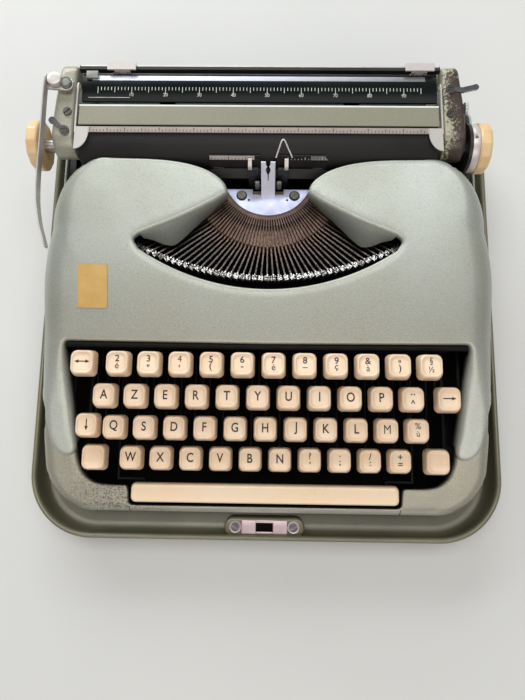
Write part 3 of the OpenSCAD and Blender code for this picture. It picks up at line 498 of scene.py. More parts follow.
def loft(rows, ring=True, caps=True):
    n = len(rows[0])
    faces = []
    for j in range(len(rows) - 1):
        for i in range(n if ring else n - 1):
            k = (i + 1) % n
            faces.append((j * n + i, j * n + k, (j + 1) * n + k, (j + 1) * n + i))
    if caps:
        faces.append(tuple(reversed(range(n))))
        faces.append(tuple(range((len(rows) - 1) * n, len(rows) * n)))
    return [p for row in rows for p in row], faces


def rounded_ring(w, d, r, z, steps=6):
    ring = []
    for sx, sy, a0 in ((1, 1, 0), (-1, 1, 90), (-1, -1, 180), (1, -1, 270)):
        for k in range(steps + 1):
            a = math.radians(a0 + 90 * k / steps)
            ring.append((sx * (w / 2 - r) + r * math.cos(a),
                         sy * (d / 2 - r) + r * math.sin(a), z))
    return ring


def from_bmesh(bm):
    bm.verts.index_update()
    shape = [tuple(v.co) for v in bm.verts], [tuple(v.index for v in f.verts) for f in bm.faces]
    bm.free()
    return shape


def box(lo, hi, r=0.3, segments=2):
    bm = bmesh.new()
    bmesh.ops.create_cube(bm, size=1)
    for v in bm.verts:
        v.co = [lo[i] + (v.co[i] + 0.5) * (hi[i] - lo[i]) for i in range(3)]
    bmesh.ops.bevel(bm, geom=bm.edges[:], offset=r, segments=segments, profile=0.5, affect="EDGES")
    return from_bmesh(bm)


def plate(outline, z0, z1, r=0.3, segments=2):
    bm = bmesh.new()
    face = bm.faces.new([bm.verts.new((x, y, z0)) for x, y in outline])
    grown = bmesh.ops.extrude_face_region(bm, geom=[face])["geom"]
    bmesh.ops.translate(bm, vec=(0, 0, z1 - z0),
                        verts=[g for g in grown if isinstance(g, bmesh.types.BMVert)])
    bmesh.ops.recalc_face_normals(bm, faces=bm.faces[:])
    rim = [e for e in bm.edges if abs(e.verts[0].co.z - e.verts[1].co.z) < 1e-6]
    bmesh.ops.bevel(bm, geom=rim, offset=r, segments=segments, profile=0.5, affect="EDGES")
    return from_bmesh(bm)


def tube(path, radius, sides=10):
    path = [Vector(p) for p in path]
    rows = []
    side = None
    for k, p in enumerate(path):
        before, after = neighbours(path, k)
        along = (after - before).normalized()
        side = along.orthogonal() if side is None else side - along * side.dot(along)
        side.normalize()
        other = along.cross(side)
        rows.append([tuple(p + radius * (math.cos(a) * side + math.sin(a) * other))
                     for a in turns(sides)])
    return loft(rows)


def turned(profile, x, y, sides=28):
    """A round piece on an upright axis; the profile is (radius, z) from its foot up."""
    return loft([[(x + r * math.cos(a), y + r * math.sin(a), z) for a in turns(sides)]
                 for r, z in profile])


def cross_pin(x0, x1, y, z, r, sides):
    """A round pin along X."""
    return loft([[(x, y + r * math.cos(a), z + r * math.sin(a)) for a in turns(sides)]
                 for x in (x0, x1)])


def spline(points, per=8):
    """A smooth line through the points."""
    out = []
    last = len(points) - 1
    for k in range(last):
        a, b, c, d = (points[min(max(k + j, 0), last)] for j in (-1, 0, 1, 2))
        for j in range(per):
            t = j / per
            out.append(tuple(
                0.5 * (2 * q + (r - p) * t + (2 * p - 5 * q + 4 * r - s) * t * t
                       + (3 * q - p - 3 * r + s) * t**3) for p, q, r, s in zip(a, b, c, d)))
    out.append(tuple(points[-1]))
    return out


def resample(points, step):
    """The same line with points about a step apart."""
    length = [0.0]
    for a, b in zip(points, points[1:]):
        length.append(length[-1] + math.dist(a, b))
    count = max(1, round(length[-1] / step))
    out, k = [], 0
    for j in range(count + 1):
        goal = length[-1] * j / count
        while k < len(points) - 2 and length[k + 1] < goal:
            k += 1
        t = (goal - length[k]) / max(1e-9, length[k + 1] - length[k])
        out.append(tuple(a + (b - a) * t for a, b in zip(points[k], points[k + 1])))
    return out


def arc(cx, cy, r, a0, a1, steps=24):
    return [(cx + r * math.cos(math.radians(a0 + (a1 - a0) * k / steps)),
             cy + r * math.sin(math.radians(a0 + (a1 - a0) * k / steps))) for k in range(steps + 1)]


def fan(r, y, angles):
    """Points at r from (0, y), each by its angle from straight towards the keys."""
    return [(r * math.sin(math.radians(a)), y - r * math.cos(math.radians(a))) for a in angles]


# %% [markdown]
# ## Pressed sheet covers
# A pressed cover is a height field over a plan outline. The outline runs round the right
# half as a list of stretches, each with the radius its edge is rolled to and the foot it
# rolls down to. The left half is its mirror. A constrained triangulation fills the plan,
# denser in the outer share of its width, and a few rows of points roll the edge over
# before it drops to its foot.

# %%
EDGE_STEP = 1.5
SHEET, SMOOTH, ROLL_ROWS = 1.2, 5, 4
DENSE, OPEN_ROWS, CELL = 0.14, 24, 2


def outline_of(stretches):
    """Right-half stretches (line, roll, foot) to a whole loop of (x, y, roll, foot)."""
    half = []
    for line, roll, foot in stretches:
        for x, y in resample(line, EDGE_STEP)[:-1]:
            half.append((x, y, roll, foot(x, y)))
    end = stretches[-1][0][-1]
    half.append((*end, stretches[-1][1], stretches[-1][2](*end)))
    other = [(-x, y, roll, (-f[0], f[1], f[2])) for x, y, roll, f in reversed(half[1:-1])]
    return half + other


def smoothed(values):
    """Each value of a closed loop as the mean of its neighbourhood."""
    n = len(values)
    return [sum(values[(k + j) % n] for j in range(-SMOOTH, SMOOTH + 1)) / (2 * SMOOTH + 1)
            for k in range(n)]


def pressed(loop, height, half_width, y_range, rows, flat=lambda x, y: 1.0):
    """The sheet; flat is the share of the rolled edge's depth at a place."""
    n = len(loop)
    rolls = smoothed([roll for _, _, roll, _ in loop])
    depth = [a * roll for a, roll in zip(smoothed([flat(x, y) for x, y, _, _ in loop]), rolls)]
    inside = []
    for k in range(n):
        (ax, ay), (bx, by) = loop[k - 2][:2], loop[(k + 2) % n][:2]
        size = max(1e-9, math.hypot(bx - ax, by - ay))
        inside.append((-(by - ay) / size, (bx - ax) / size))
    plan = [Vector((loop[k][0] + inside[k][0] * rolls[k], loop[k][1] + inside[k][1] * rolls[k]))
            for k in range(n)]
    points = list(plan)
    shares = [1 - DENSE * (1 - math.sin(math.radians(a))) for a in range(84, 0, -6)]
    shares += [(1 - DENSE) - (1 - DENSE) * k / OPEN_ROWS for k in range(1, OPEN_ROWS + 1)]
    cells = {(round(p.x / CELL), round(p.y / CELL)) for p in plan}
    for j in range(rows + 1):
        y = y_range[0] + (y_range[1] - y_range[0]) * j / rows
        for u in shares:
            for x in (u * half_width(y), -u * half_width(y)):
                taken = (round(x / CELL), round(y / CELL)) in cells
                if not taken and (x > 0 or u > 0):
                    points.append(Vector((x, y)))
    edges = [(k, (k + 1) % n) for k in range(n)]
    got, _, tris, origin, _, _ = delaunay_2d_cdt(points, edges, [], 1, 1e-4)
    used = sorted({i for t in tris for i in t})
    renum = {i: k for k, i in enumerate(used)}
    verts = [(got[i].x, got[i].y, height(got[i].x, got[i].y)) for i in used]
    faces = [tuple(renum[i] for i in t) for t in tris]
    first = {o: renum[i] for i in used for o in origin[i] if o < n}
    ring = [first[k] for k in range(n)]
    for step in range(1, ROLL_ROWS + 2):
        row = []
        for k in range(n):
            if step <= ROLL_ROWS:
                a = math.radians(90 * step / ROLL_ROWS)
                x = plan[k].x - inside[k][0] * rolls[k] * math.sin(a)
                y = plan[k].y - inside[k][1] * rolls[k] * math.sin(a)
                verts.append((x, y, height(x, y) - depth[k] * (1 - math.cos(a))))
            else:
                verts.append(loop[k][3])
            row.append(len(verts) - 1)
        for k in range(n):
            m = (k + 1) % n
            faces.append((ring[m], ring[k], row[k], row[m]))
        ring = row
    return verts, faces


def sheet_metal(obj):
    made = obj.modifiers.new("sheet", "SOLIDIFY")
    made.thickness = SHEET * MM
    made.offset = -1.0
    return obj


# %% [markdown]
# ### Top cover
# The key well, the two arms, the round back corners, the noses of the wings and the long
# arc in front of the type basket are one closed edge. The wing edges drop as a leaning
# wall whose foot swings forward over the outer typebars.

# %%
def drop(depth, out=0.0):
    return lambda x, y: (x, y + out, cover_z(x, y) - depth)


def side_foot(x, y):
    return x, y, FLANGE_Z if y < SKIRT_END else BACK_FOOT_Z


SKIRT_END, BACK_FOOT_Z = CORNER_Y + 20, 66.0
WING = [(24.8, 58.8), (31.0, 54.6), (41.5, 49.2), (52.0, 44.2), (63.0, 39.6), (73.0, 36.0),
        (79.5, 33.8)]
WING_FOOT = [(25.6, 60.0, 79.0), (32.0, 54.6, 78.4), (39.5, 47.6, 78.0), (47.0, 40.6, 77.2),
             (53.6, 34.4, 76.4), (59.0, 30.2, 76.2), (65.0, 30.0, 77.2), (72.0, 32.0, 79.6),
             (79.0, 32.4, 83.0)]
FOOT_STEP = 0.1577
wing_line = resample(spline(WING), EDGE_STEP)
wing_foot = resample(spline(WING_FOOT), FOOT_STEP)


def wing_drop(x, y):
    near = min(range(len(wing_line)), key=lambda k: math.dist(wing_line[k], (x, y)))
    share = near / (len(wing_line) - 1)
    return wing_foot[min(len(wing_foot) - 1, int(share * (len(wing_foot) - 1)))]


ARM_END = (143.8, -65.5)
side = [ARM_END, (143.9, -58.0), (144.0, -50.0)]
side += [(cover_half(y), y) for y in range(-40, 40, 4)]
side += arc(CORNER_X, CORNER_Y, BACK_R, 0, 84, 40)
cover_loop = outline_of([
    ([(0.0, DECK_Y - 0.4), (122.4, DECK_Y + 0.5)], 1.6, drop(4.5)),
    (spline([(122.4, DECK_Y + 0.5), (125.4, -32.0), (126.4, -34.4), (126.3, -38.0)]), 2.0, drop(7)),
    ([(126.3, -38.0), (122.0, -94.0)], 5.2, drop(11)),
    (spline([(122.0, -94.0), (122.5, -98.6), (124.8, -101.6), (128.6, -102.3), (132.6, -101.0),
             (136.2, -97.4), (138.6, -91.6), (139.9, -83.0), (140.9, -74.0), (142.2, -69.0),
             ARM_END]), 2.0, drop(4.8)),
    (side, 0.0, side_foot),
    (spline([side[-1], (97.0, 79.0), (88.0, 78.7), (74.0, 78.3), (60.0, 77.2), (48.0, 75.2),
             (38.0, 72.0), (31.0, 68.0), (26.4, 63.6), WING[0]]), 3.0, drop(4.0, -0.4)),
    (wing_line, 2.8, wing_drop),
    (spline([WING[-1], (82.4, 31.6), (82.6, 28.9), (80.4, 26.0)]), 1.6, drop(4.5)),
    (fan(ARC_R, ARC_Y, [ARC_HALF * (1 - k / 40) for k in range(41)]), 5.5, drop(7.5, 0.6)),
])


def lip_flat(x, y):
    """The front lip of the basket and the back edge are flared, not fully rolled."""
    front = y < 40 and abs(math.hypot(x, y - ARC_Y) - ARC_R) < 2
    return 0.3 if front else 0.5 if y > 60 else 1.0


cover_shape = pressed(cover_loop, cover_z, cover_half, (ARM_Y + 1, 78.0), 96, lip_flat)
cover = make("cover_sheet", cover_shape, ENAMEL, "machine", 55)
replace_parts(sheet_metal(cover), "top_cover")

# %% [markdown]
# ### Front apron
# The apron carries the arms of the cover and runs round the front of the key well, with a
# recess for the space bar. A dark seam marks each end of its front lip.

# %%
def apron_drop(depth):
    return lambda x, y: (x, y, apron_z(x, y) - depth)


apron_loop = outline_of([
    ([(0.0, APRON_FRONT), (APRON_CX, APRON_FRONT)] + arc(APRON_CX, APRON_CY, APRON_R, -90, 0, 40)
     + [(apron_half(y), y) for y in (TAPER_FROM, -84.0, -75.0, APRON_BACK)], 0.0,
     lambda x, y: (x, y, FLANGE_Z)),
    ([(apron_half(APRON_BACK), APRON_BACK), (124.4, APRON_BACK)], 0.0, apron_drop(2)),
    (spline([(124.4, APRON_BACK), (124.3, -80.0), (123.8, -92.0), (123.0, -102.0),
             (121.6, -108.6), (118.8, -114.6), (113.8, -119.2), (107.0, -121.0),
             (98.0, -121.4)]), 2.2, apron_drop(8)),
    ([(98.0, -121.4), (91.6, -121.5), (90.4, -122.4), (90.2, -124.0), (90.2, -132.4),
      (89.0, -134.2), (87.0, -134.6), (0.0, -134.6)], 1.1, apron_drop(6)),
])
apron_shape = pressed(apron_loop, apron_z, apron_half, (-138.0, -67.0), 76)
apron = make("apron_sheet", apron_shape, DARKER_ENAMEL, "machine", 55)
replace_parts(sheet_metal(apron), "front_apron")
SEAM_X = 89.6
seams = merge(*[tube([(sx * SEAM_X, y, apron_z(SEAM_X, y) + 0.02) for y in
                      (-138.8, -138.2, -137.2, -136.2, -135.2)], 0.22, 6) for sx in (-1, 1)])
make("apron_seams", seams, JAPAN, "machine")

# %% [markdown]
# ### Trim of the key well and the floor under the levers
# A round black lip trims the back of the well, over a black strip behind the keys. A black
# sheet under the levers stands in for shade, so the gaps between the keys look into the dark.

# %%
lip = [(x, DECK_Y - 2.0 + 0.006 * abs(x), DECK_Z - 3.2) for x in range(-125, 126, 5)]
make("well_lip", tube(lip, 2.2, 14), TRIM, "machine")
edge = [(x, DECK_Y - 1.0, DECK_Z - 9.5) for x in range(-120, 121, 4)]
well_back = loft([edge, [(x, y + 1, z - 22) for x, y, z in edge]], False, False)
make("well_back", well_back, LEVERS, "machine")
# Painted shade: a black sheet under the levers.
shade_floor = box((-124, -135.5, 14.2), (124, 60, 15.6), 0.5)
make("felt_floor", shade_floor, BLACK_SHADE_SHEET, "machine")

# %% [markdown]
# ## Tray
# The tray is deep-drawn sheet with a rolled rim. It is a loft of rounded rectangles, each
# set in from the outside by the first number, up the outside, over the rim and down inside.

# %%
TRAY_W, TRAY_D, TRAY_R = 318.0, 314.0, 43.0
profile = [(9, 5.0), (4.5, 5.3), (2.0, 6.6), (0.7, 9.0), (0.15, 13), (0, 20), (0, 26.8),
           (0.3, 27.9), (0.9, 28.7), (1.8, 29.0), (2.7, 28.75), (3.3, 28.0), (3.6, 26.9),
           (3.6, 25.4), (3.0, 24.9), (2.3, 24.4), (2.1, 18), (2.2, 12), (3.0, 9.2), (5.0, 7.6),
           (9, 7.0)]
tray = loft([rounded_ring(TRAY_W - 2 * i, TRAY_D - 2 * i, TRAY_R - i, z, 16) for i, z in profile])
ledge = loft([[(x, y - 149.0, z) for x, y, z in rounded_ring(54 - 2 * i, 13 - 2 * i, 6 - i, z)]
              for i, z in ((0, 7.2), (0, 22.6), (0.4, 23.4), (1.2, 23.8), (2.4, 23.9))])
POST_X, POST_Y, POST_W = 131, 96, 10
post = loft([rounded_ring(POST_W, POST_W, POST_W / 2, z) for z in (6.5, 12.4)])
posts = [moved(post, sx * POST_X, sy * POST_Y) for sx in (-1, 1) for sy in (-1, 1)]
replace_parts(make("tray_shell", merge(tray, ledge, *posts), OLIVE, "machine"),
            "base_tray")

# %% [markdown]
# ### Latch
# A short chromed plate with a slot for the hook of the lid, between two screws on washers.

# %%
LATCH_Y, LEDGE_Z = -148.6, 23.9
LATCH_SCREW_X = 19.5


def latch_block(x0, x1, y0, y1, z0, z1, *edge):
    """A bevelled block on the ledge, measured from the middle of the latch."""
    return box((x0, LATCH_Y + y0, LEDGE_Z + z0), (x1, LATCH_Y + y1, LEDGE_Z + z1), *edge)


frame_bars = [latch_block(-15.4, -5.7, -4.6, 4.6, 0, 1.4, 0.45, 3),
              latch_block(5.7, 15.4, -4.6, 4.6, 0, 1.4, 0.45, 3),
              latch_block(-6.2, 6.2, 2.8, 4.6, 0, 1.3, 0.35, 3),
              latch_block(-6.2, 6.2, -4.5, -3.0, 0, 0.6, 0.2, 2)]
ring = loft([rounded_ring(2 * r, 2 * r, r - 0.01, LEDGE_Z + z)
             for r, z in ((4.1, -0.2), (4.1, 0.7), (3.8, 1.0), (3.0, 0.8))])
rings = [moved(ring, sx * LATCH_SCREW_X, LATCH_Y) for sx in (-1, 1)]
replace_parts(make("latch_plate_chrome", merge(*frame_bars, *rings), ROSY, "machine"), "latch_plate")
# A black sheet in the slot stands in for the shade inside it.
make("latch_slot_floor", latch_block(-6.0, 6.0, -3.2, 3.0, -0.3, 0.05, 0.02, 1), BLACK_SHADE_SHEET, "machine")

# %% [markdown]
# ## Keys
# A key cap is a loft of rounded squares: straight foot, drawn-in sides, a soft rim and a
# shallow dish. Each row of the list is how much narrower it is, its height and its corner
# radius. CAP_X draws the caps a little narrower across than their solids. One cap is
# repeated along each row of keys by a small Geometry Nodes tree.

# %%
CAP = [(0.0, 0.0, 3.2), (0.05, 0.9, 3.2), (0.5, 3.2, 3.4), (1.1, 5.6, 3.7), (1.5, 6.6, 3.9),
       (2.0, 7.3, 4.0), (2.7, 7.7, 4.0), (3.4, 7.78, 3.9), (4.0, 7.66, 3.8), (4.6, 7.36, 3.7),
       (5.6, 7.14, 3.3), (7.6, 7.02, 2.6), (10.6, 6.96, 1.6)]
DISH_Z = 6.95


def cap_shape(width):
    return loft([rounded_ring(CAP_X * (width - i), width - i, r, z, 7) for i, z, r in CAP])


def row_tree():
    """Copies of one object along a straight line."""
    tree = bpy.data.node_groups.new("row_of_copies", "GeometryNodeTree")
    face = tree.interface
    face.new_socket("Geometry", in_out="OUTPUT", socket_type="NodeSocketGeometry")
    for name, kind in (("Geometry", "Geometry"), ("Piece", "Object"), ("Count", "Int"),
                       ("First", "Vector"), ("Step", "Vector"), ("Material", "Material")):
        face.new_socket(name, in_out="INPUT", socket_type="NodeSocket" + kind)
    given = add(tree, "NodeGroupInput").outputs
    line = add(tree, "GeometryNodeMeshLine", {"Count": given["Count"],
                                              "Start Location": given["First"],
                                              "Offset": given["Step"]})
    piece = add(tree, "GeometryNodeObjectInfo", {"Object": given["Piece"]})
    copies = add(tree, "GeometryNodeInstanceOnPoints",
                 {"Points": line.outputs["Mesh"], "Instance": piece.outputs["Geometry"]})
    real = add(tree, "GeometryNodeRealizeInstances", {"Geometry": copies.outputs["Instances"]})
    dressed = add(tree, "GeometryNodeSetMaterial",
                  {"Geometry": real.outputs["Geometry"], "Material": given["Material"]})
    add(tree, "NodeGroupOutput", {"Geometry": dressed.outputs["Geometry"]})
    return tree


ROW_TREE = row_tree()


def copies(name, shape, count, first, step, material, body, slot, sharp=40.0):
    """A row of copies of one shape, as one piece."""
    source = make(name + "_source", shape, material, body, sharp)
    holder = bpy.data.objects.new(name + "_holder", bpy.data.meshes.new(name + "_holder"))
    scene.collection.objects.link(holder)
    made = holder.modifiers.new("row", "NODES")
    made.node_group = ROW_TREE
    values = {"Piece": source, "Count": count, "First": [v * MM for v in first],
              "Step": [v * MM for v in step], "Material": material}
    for socket in ROW_TREE.interface.items_tree:
        if socket.in_out == "INPUT" and socket.name in values:
            made[socket.identifier] = values[socket.name]
    seen = holder.evaluated_get(bpy.context.evaluated_depsgraph_get())
    mesh = bpy.data.meshes.new_from_object(seen)
    mesh.name = name
    for old in (holder, source):
        bpy.data.objects.remove(old)
    obj = bpy.data.objects.new(name, mesh)
    scene.collection.objects.link(obj)
    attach(obj, body)
    return obj


ROWS = [("number_row", 11, 0.5), ("top_row", 11, 0.0), ("home_row", 11, 0.25),
        ("bottom_row", 10, 0.75)]
LEFT_KEYS = 5.25


def key_place(row, i):
    """The foot of key i of a row."""
    return (PITCH * (i + ROWS[row][2] - LEFT_KEYS), ROW_Y - row * ROW_PITCH,
            ROW_Z - row * ROW_RISE - CAP_H)


for row, (body, count, _) in enumerate(ROWS):
    caps = copies(body + "_keys", cap_shape(CAP_W), count, key_place(row, 0), (PITCH, 0, 0), IVORY,
                  body, "key_ivory", 50)
    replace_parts(caps, body + "_caps")

# %% [markdown]
# ### Function keys, shift keys and space bar
# The function keys have their levers in the same solid, so the dressed pieces carry a
# black lever too. The shift keys are a little larger.

# %%
SHIFT_X = 5.75 * PITCH
ROD_Y, ROD_Z = 84.0, 34.0


def lever(x, y, z):
    """A flat key lever from the rod to its stem."""
    low, high, back = ROD_Z - 3, ROD_Z + 3, ROD_Y + 5
    side_view = [(back, low), (back, high), (y + 3, high), (y + 3, z), (y - 3, z), (y - 3, low)]
    return loft([[(x + dx, a, b) for a, b in side_view] for dx in (0.6, -0.6)])


FUNCTION = [("margin_release", "margin_release_key", CAP_W + 0.4, -SHIFT_X - 2.46, 0.0, 0, 0.0),
            ("tab", "tab_key", CAP_W + 0.4, SHIFT_X + 3.16, 1.0, 1, 0.0),
            ("shift_lock", "shift_lock_key", CAP_W, -SHIFT_X - 2.96, -2.0, 2, 0.9)]
for body, node, width, x, lever_dx, row, dy in FUNCTION:
    _, y, z = key_place(row, 0)
    cap = moved(cap_shape(width), x, y + dy, z)
    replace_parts(make(body + "_cap", cap, IVORY, body, 50), node)
    make(body + "_lever", lever(x + lever_dx, y + dy, z + 0.5), LEVERS, body)

for sx, node in ((-1, "shift_key_left"), (1, "shift_key_right")):
    _, y, z = key_place(3, 0)
    cap = moved(cap_shape(SHIFT_W), sx * SHIFT_X, y, z)
    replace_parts(make(node + "_cap", cap, IVORY, "shift", 50), node)

SPACE_W, SPACE_D, SPACE_Y = 174.0, 12.6, -125.6
SPACE = [(0.0, 37.0, 2.6), (0.0, 39.8, 3.0), (0.3, 41.4, 3.2), (1.0, 42.8, 3.3),
         (1.9, 43.6, 3.2), (3.2, 43.95, 2.9), (5.0, 44.0, 2.2)]
bar = moved(loft([rounded_ring(SPACE_W - i, SPACE_D - i, r, z, 8) for i, z, r in SPACE]), y=SPACE_Y)
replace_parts(make("space_bar_body", bar, LIT_IVORY, "space", 50), "space_bar")

# %% [markdown]
# ### Legends
# Each legend is built-in type turned into a mesh, cut fine enough to follow the dish, and
# laid a few hundredths of a millimetre above it. Arrows and dots are drawn as outlines.

# %%
def glyph(text, size, weight=0.0):
    """Flat type, centred on its own box, in millimetres."""
    curve = bpy.data.curves.new("type", "FONT")
    curve.body = text
    curve.size = size
    curve.offset = weight
    holder = bpy.data.objects.new("type", curve)
    scene.collection.objects.link(holder)
    bpy.context.view_layer.update()
    mesh = bpy.data.meshes.new_from_object(
        holder.evaluated_get(bpy.context.evaluated_depsgraph_get()))
    verts = [tuple(v.co) for v in mesh.vertices]
    faces = [tuple(p.vertices) for p in mesh.polygons]
    bpy.data.objects.remove(holder)
    cx = (min(v[0] for v in verts) + max(v[0] for v in verts)) / 2
    cy = (min(v[1] for v in verts) + max(v[1] for v in verts)) / 2
    return [(x - cx, y - cy, 0.0) for x, y, _ in verts], faces


def dish_z(x, y):
    """Height of the cap top above its foot."""
    far = max(abs(x) / CAP_X, abs(y)) * 2
    for (i, z, _), (j, h, _) in zip(CAP[7:], CAP[8:]):
        if CAP_W - j <= far <= CAP_W - i:
            return h + (z - h) * (far - CAP_W + j) / (j - i)
    return DISH_Z


def inked(shape, x, y, z, dx=0.0, dy=0.0, narrow=0.82):
    """A glyph laid into the dish of the key at (x, y, z)."""
    bm = bmesh.new()
    verts = [bm.verts.new((a * narrow + dx, b + dy, 0.0)) for a, b, _ in shape[0]]
    for f in shape[1]:
        try:
            bm.faces.new([verts[i] for i in f])
        except ValueError:
            pass
    bmesh.ops.triangulate(bm, faces=bm.faces[:])
    for _ in range(2):
        long = [e for e in bm.edges if e.calc_length() > 0.7]
        bmesh.ops.subdivide_edges(bm, edges=long, cuts=1)
        bmesh.ops.triangulate(bm, faces=bm.faces[:])
    for v in bm.verts:
        v.co.z = dish_z(v.co.x, v.co.y) + 0.06
    return moved(from_bmesh(bm), x, y, z)


def arrow(heads, turn, half):
    """An arrow along X with one or two heads."""
    tip, wing, thick = 2.0, 1.15, 0.36
    shaft = [(-half, -thick, 0), (half, -thick, 0), (half, thick, 0), (-half, thick, 0)]
    parts = [(shaft, [(0, 1, 2, 3)])]
    for s in heads:
        parts.append(([(s * (half + 0.6), 0, 0), (s * (half - tip), s * wing, 0),
                       (s * (half - tip), -s * wing, 0)], [(0, 1, 2)]))
    return moved(merge(*parts), turn=turn)


def dots():
    """Two round dots side by side."""
    r, apart, sides = 0.5, 1.7, 14
    rings = [[(sx * apart / 2 + r * math.cos(a), r * math.sin(a), 0.0) for a in turns(sides)]
             for sx in (-1, 1)]
    return merge(*[(ring, [tuple(range(sides))]) for ring in rings])


LEGENDS = [["2é", "3\"", "4'", "5(", "6-", "7è", "8_", "9ç", "&à", "°)", "§½"],
           ["A", "Z", "E", "R", "T", "Y", "U", "I", "O", "P", "¨^"],
           ["Q", "S", "D", "F", "G", "H", "J", "K", "L", "M", "%ù"],
           ["W", "X", "C", "V", "B", "N", "?,", ".;", "/:", "+="]]
LETTER_SIZE, PAIR_SIZE, TALL_SIZE = 8.0, 5.6, 5.0
LETTER_WEIGHT, PAIR_WEIGHT = 0.13, 0.09
LETTER_DY, PAIR_DY, TALL_DY = 0.6, (2.7, -1.8), (3.0, -2.0)
THIN = {"M": 0.0, "4": 0.0, "é": 0.03, "è": 0.03, "à": 0.04, "ù": 0.04, "ç": 0.04,
        "§": 0.05, "½": 0.05, "%": 0.02}
for row, texts in enumerate(LEGENDS):
    shapes = []
    for i, text in enumerate(texts):
        if len(text) == 1:
            shape = glyph(text, LETTER_SIZE, THIN.get(text, LETTER_WEIGHT))
            shapes.append(inked(shape, *key_place(row, i), 0.0, LETTER_DY))
        else:
            for sign, dy in zip(text, TALL_DY if text[0] in "§%" else PAIR_DY):
                size = TALL_SIZE if sign in "§½ù" else PAIR_SIZE
                weight = THIN.get(sign, PAIR_WEIGHT)
                shape = dots() if sign == "¨" else glyph(sign, size, weight)
                shapes.append(inked(shape, *key_place(row, i), 0.0, dy, 1.0))
    make(ROWS[row][0] + "_legends", merge(*shapes), INK, ROWS[row][0])
ARROWS = [((-1, 1), 0, 4.1), ((1,), 0, 3.7), ((1,), -90, 3.3)]
for (body, _, _, x, _, row, dy), (heads, turn, half) in zip(FUNCTION, ARROWS):
    _, y, z = key_place(row, 0)
    shape = inked(arrow(heads, turn, half), x, y + dy, z, 0, 0.5, 1.0)
    make(body + "_legend", shape, INK, body)

# %% [markdown]
# ## Type basket
# The bars themselves are the solids. Each one gets a bright type slug with its two raised
# faces. The slugs are knocked about a little, as on any used machine. A dark strip shades
# the front of the basket.

# %%
BAR_COUNT, FAN_HALF, PRINT_Y = 43, 57.0, 80.4
SLUG_ROOT_R, SLUG_FOOT_Z, SLUG_TOP_Z = 52.0, 67.9, 73.2
TIP_X, TIP_Y, TIP_BOW = 84.0, 10.0, 21.0


def bar_share(k):
    """Place of bar k in the fan, from -1 at the left to 1 at the right."""
    return 2 * k / (BAR_COUNT - 1) - 1


pick = random.Random(7)
slugs = []
for k in range(BAR_COUNT):
    s = bar_share(k)
    root = fan(SLUG_ROOT_R, PRINT_Y, [FAN_HALF * s])[0]
    tip = (TIP_X * s, TIP_Y + TIP_BOW * s * s)
    face = math.degrees(math.atan2(tip[1] - root[1], tip[0] - root[0]))
    h = SLUG_TOP_Z + pick.uniform(-0.3, 0.5)
    block = box((-1.8, -1.75, SLUG_FOOT_Z), (1.6, 1.75, h), 0.3, 1)
    ridges = [box((-1.4 + 1.6 * j, -1.3 + pick.uniform(0, 0.8), h - 0.2),
                  (-0.7 + 1.6 * j, 0.5 + pick.uniform(0, 0.8), h + 0.55), 0.12, 1) for j in range(2)]
    foot = box((-3.2, -0.6, 68.2), (-1.6, 0.6, 71.6), 0.2, 1)
    slugs.append(moved(merge(block, foot, *ridges), *tip, 0, face + pick.uniform(-6, 6)))
make("type_slugs", merge(*slugs), NICKEL, "machine", 30)
dark = fan(ARC_R - 0.4, ARC_Y + 1.2, range(-34, 35, 2))
shade = loft([[(x, y, 75.0) for x, y in dark], [(x, y + 5, 63.0) for x, y in dark]], False, False)
make("basket_shade", shade, MATT_BLACK_AND_SHADE, "machine")

# %% [markdown]
# ### Segment plate and type guide
# The bright plate over the segment has two notches at the back. Between them a forked
# guide leans towards the platen and steers each type slug to the print point.

# %%
PLATE_R, PLATE_BACK, PLATE_Z = 29.4, 68.8, 75.6
SEGMENT_Z = 74.0


def both_sides(line):
    """A line of the right half and its mirror, back to the start."""
    return line + [(-x, y) for x, y in reversed(line)]


half_arc = math.degrees(math.acos((PRINT_Y - PLATE_BACK) / PLATE_R))
rim = fan(PLATE_R, PRINT_Y, [half_arc * (k / 24 - 1) for k in range(49)])
notch = [(9.9, PLATE_BACK), (9.9, 65.2), (4.4, 65.2)]
flat = plate(rim + both_sides(notch), PLATE_Z - 1.6, PLATE_Z, 0.25)
GUIDE_FOOT, GUIDE_TIP, GUIDE_HALF = (64.4, 74.8), (76.2, 98.0), 4.35
length = math.dist(GUIDE_FOOT, GUIDE_TIP)
rise = [(b - a) / length for a, b in zip(GUIDE_FOOT, GUIDE_TIP)]
slot = [(x, length - deep) for x, deep in ((1.5, 0.0), (1.3, 2.6), (0.7, 3.4), (1.3, 4.6),
                                           (1.5, 6.0), (1.0, 7.8), (0.35, 9.2), (0.2, 14.0))]
fork = [(-GUIDE_HALF, 0.0), (GUIDE_HALF, 0.0), (GUIDE_HALF, length)]
fork += both_sides(slot) + [(-GUIDE_HALF, length)]
guide = plate(fork, 0.0, 1.0, 0.12, 1)
guide = [(x, GUIDE_FOOT[0] + v * rise[0] - w * rise[1], GUIDE_FOOT[1] + v * rise[1] + w * rise[0])
         for x, v, w in guide[0]], guide[1]
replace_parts(make("segment_plate_bright", flat, PLATE, "machine", 30), "segment_plate")
make("type_guide_fork", guide, FORK, "machine", 30)
# Thin dark strips on the segment stand in for the shade inside its slots.
gap = [[(dx, -r, SEGMENT_Z + 0.04) for dx in (-0.42, 0.42)] for r in (31.8, 38.0)]
gaps = [moved(loft(gap, False, False), 0, PRINT_Y, 0, FAN_HALF * bar_share(k))
        for k in range(BAR_COUNT)]
make("segment_slots", merge(*gaps), LEVERS, "machine")


def disc(x, y, z, r, inner=0.01):
    """A thin round mark, or a ring, just above a flat face, on both sides of the middle."""
    rows = [[(q * math.cos(a), q * math.sin(a), z) for a in turns(28)] for q in (r, inner)]
    return merge(*[moved(loft(rows, True, False), sx * x, y) for sx in (-1, 1)])


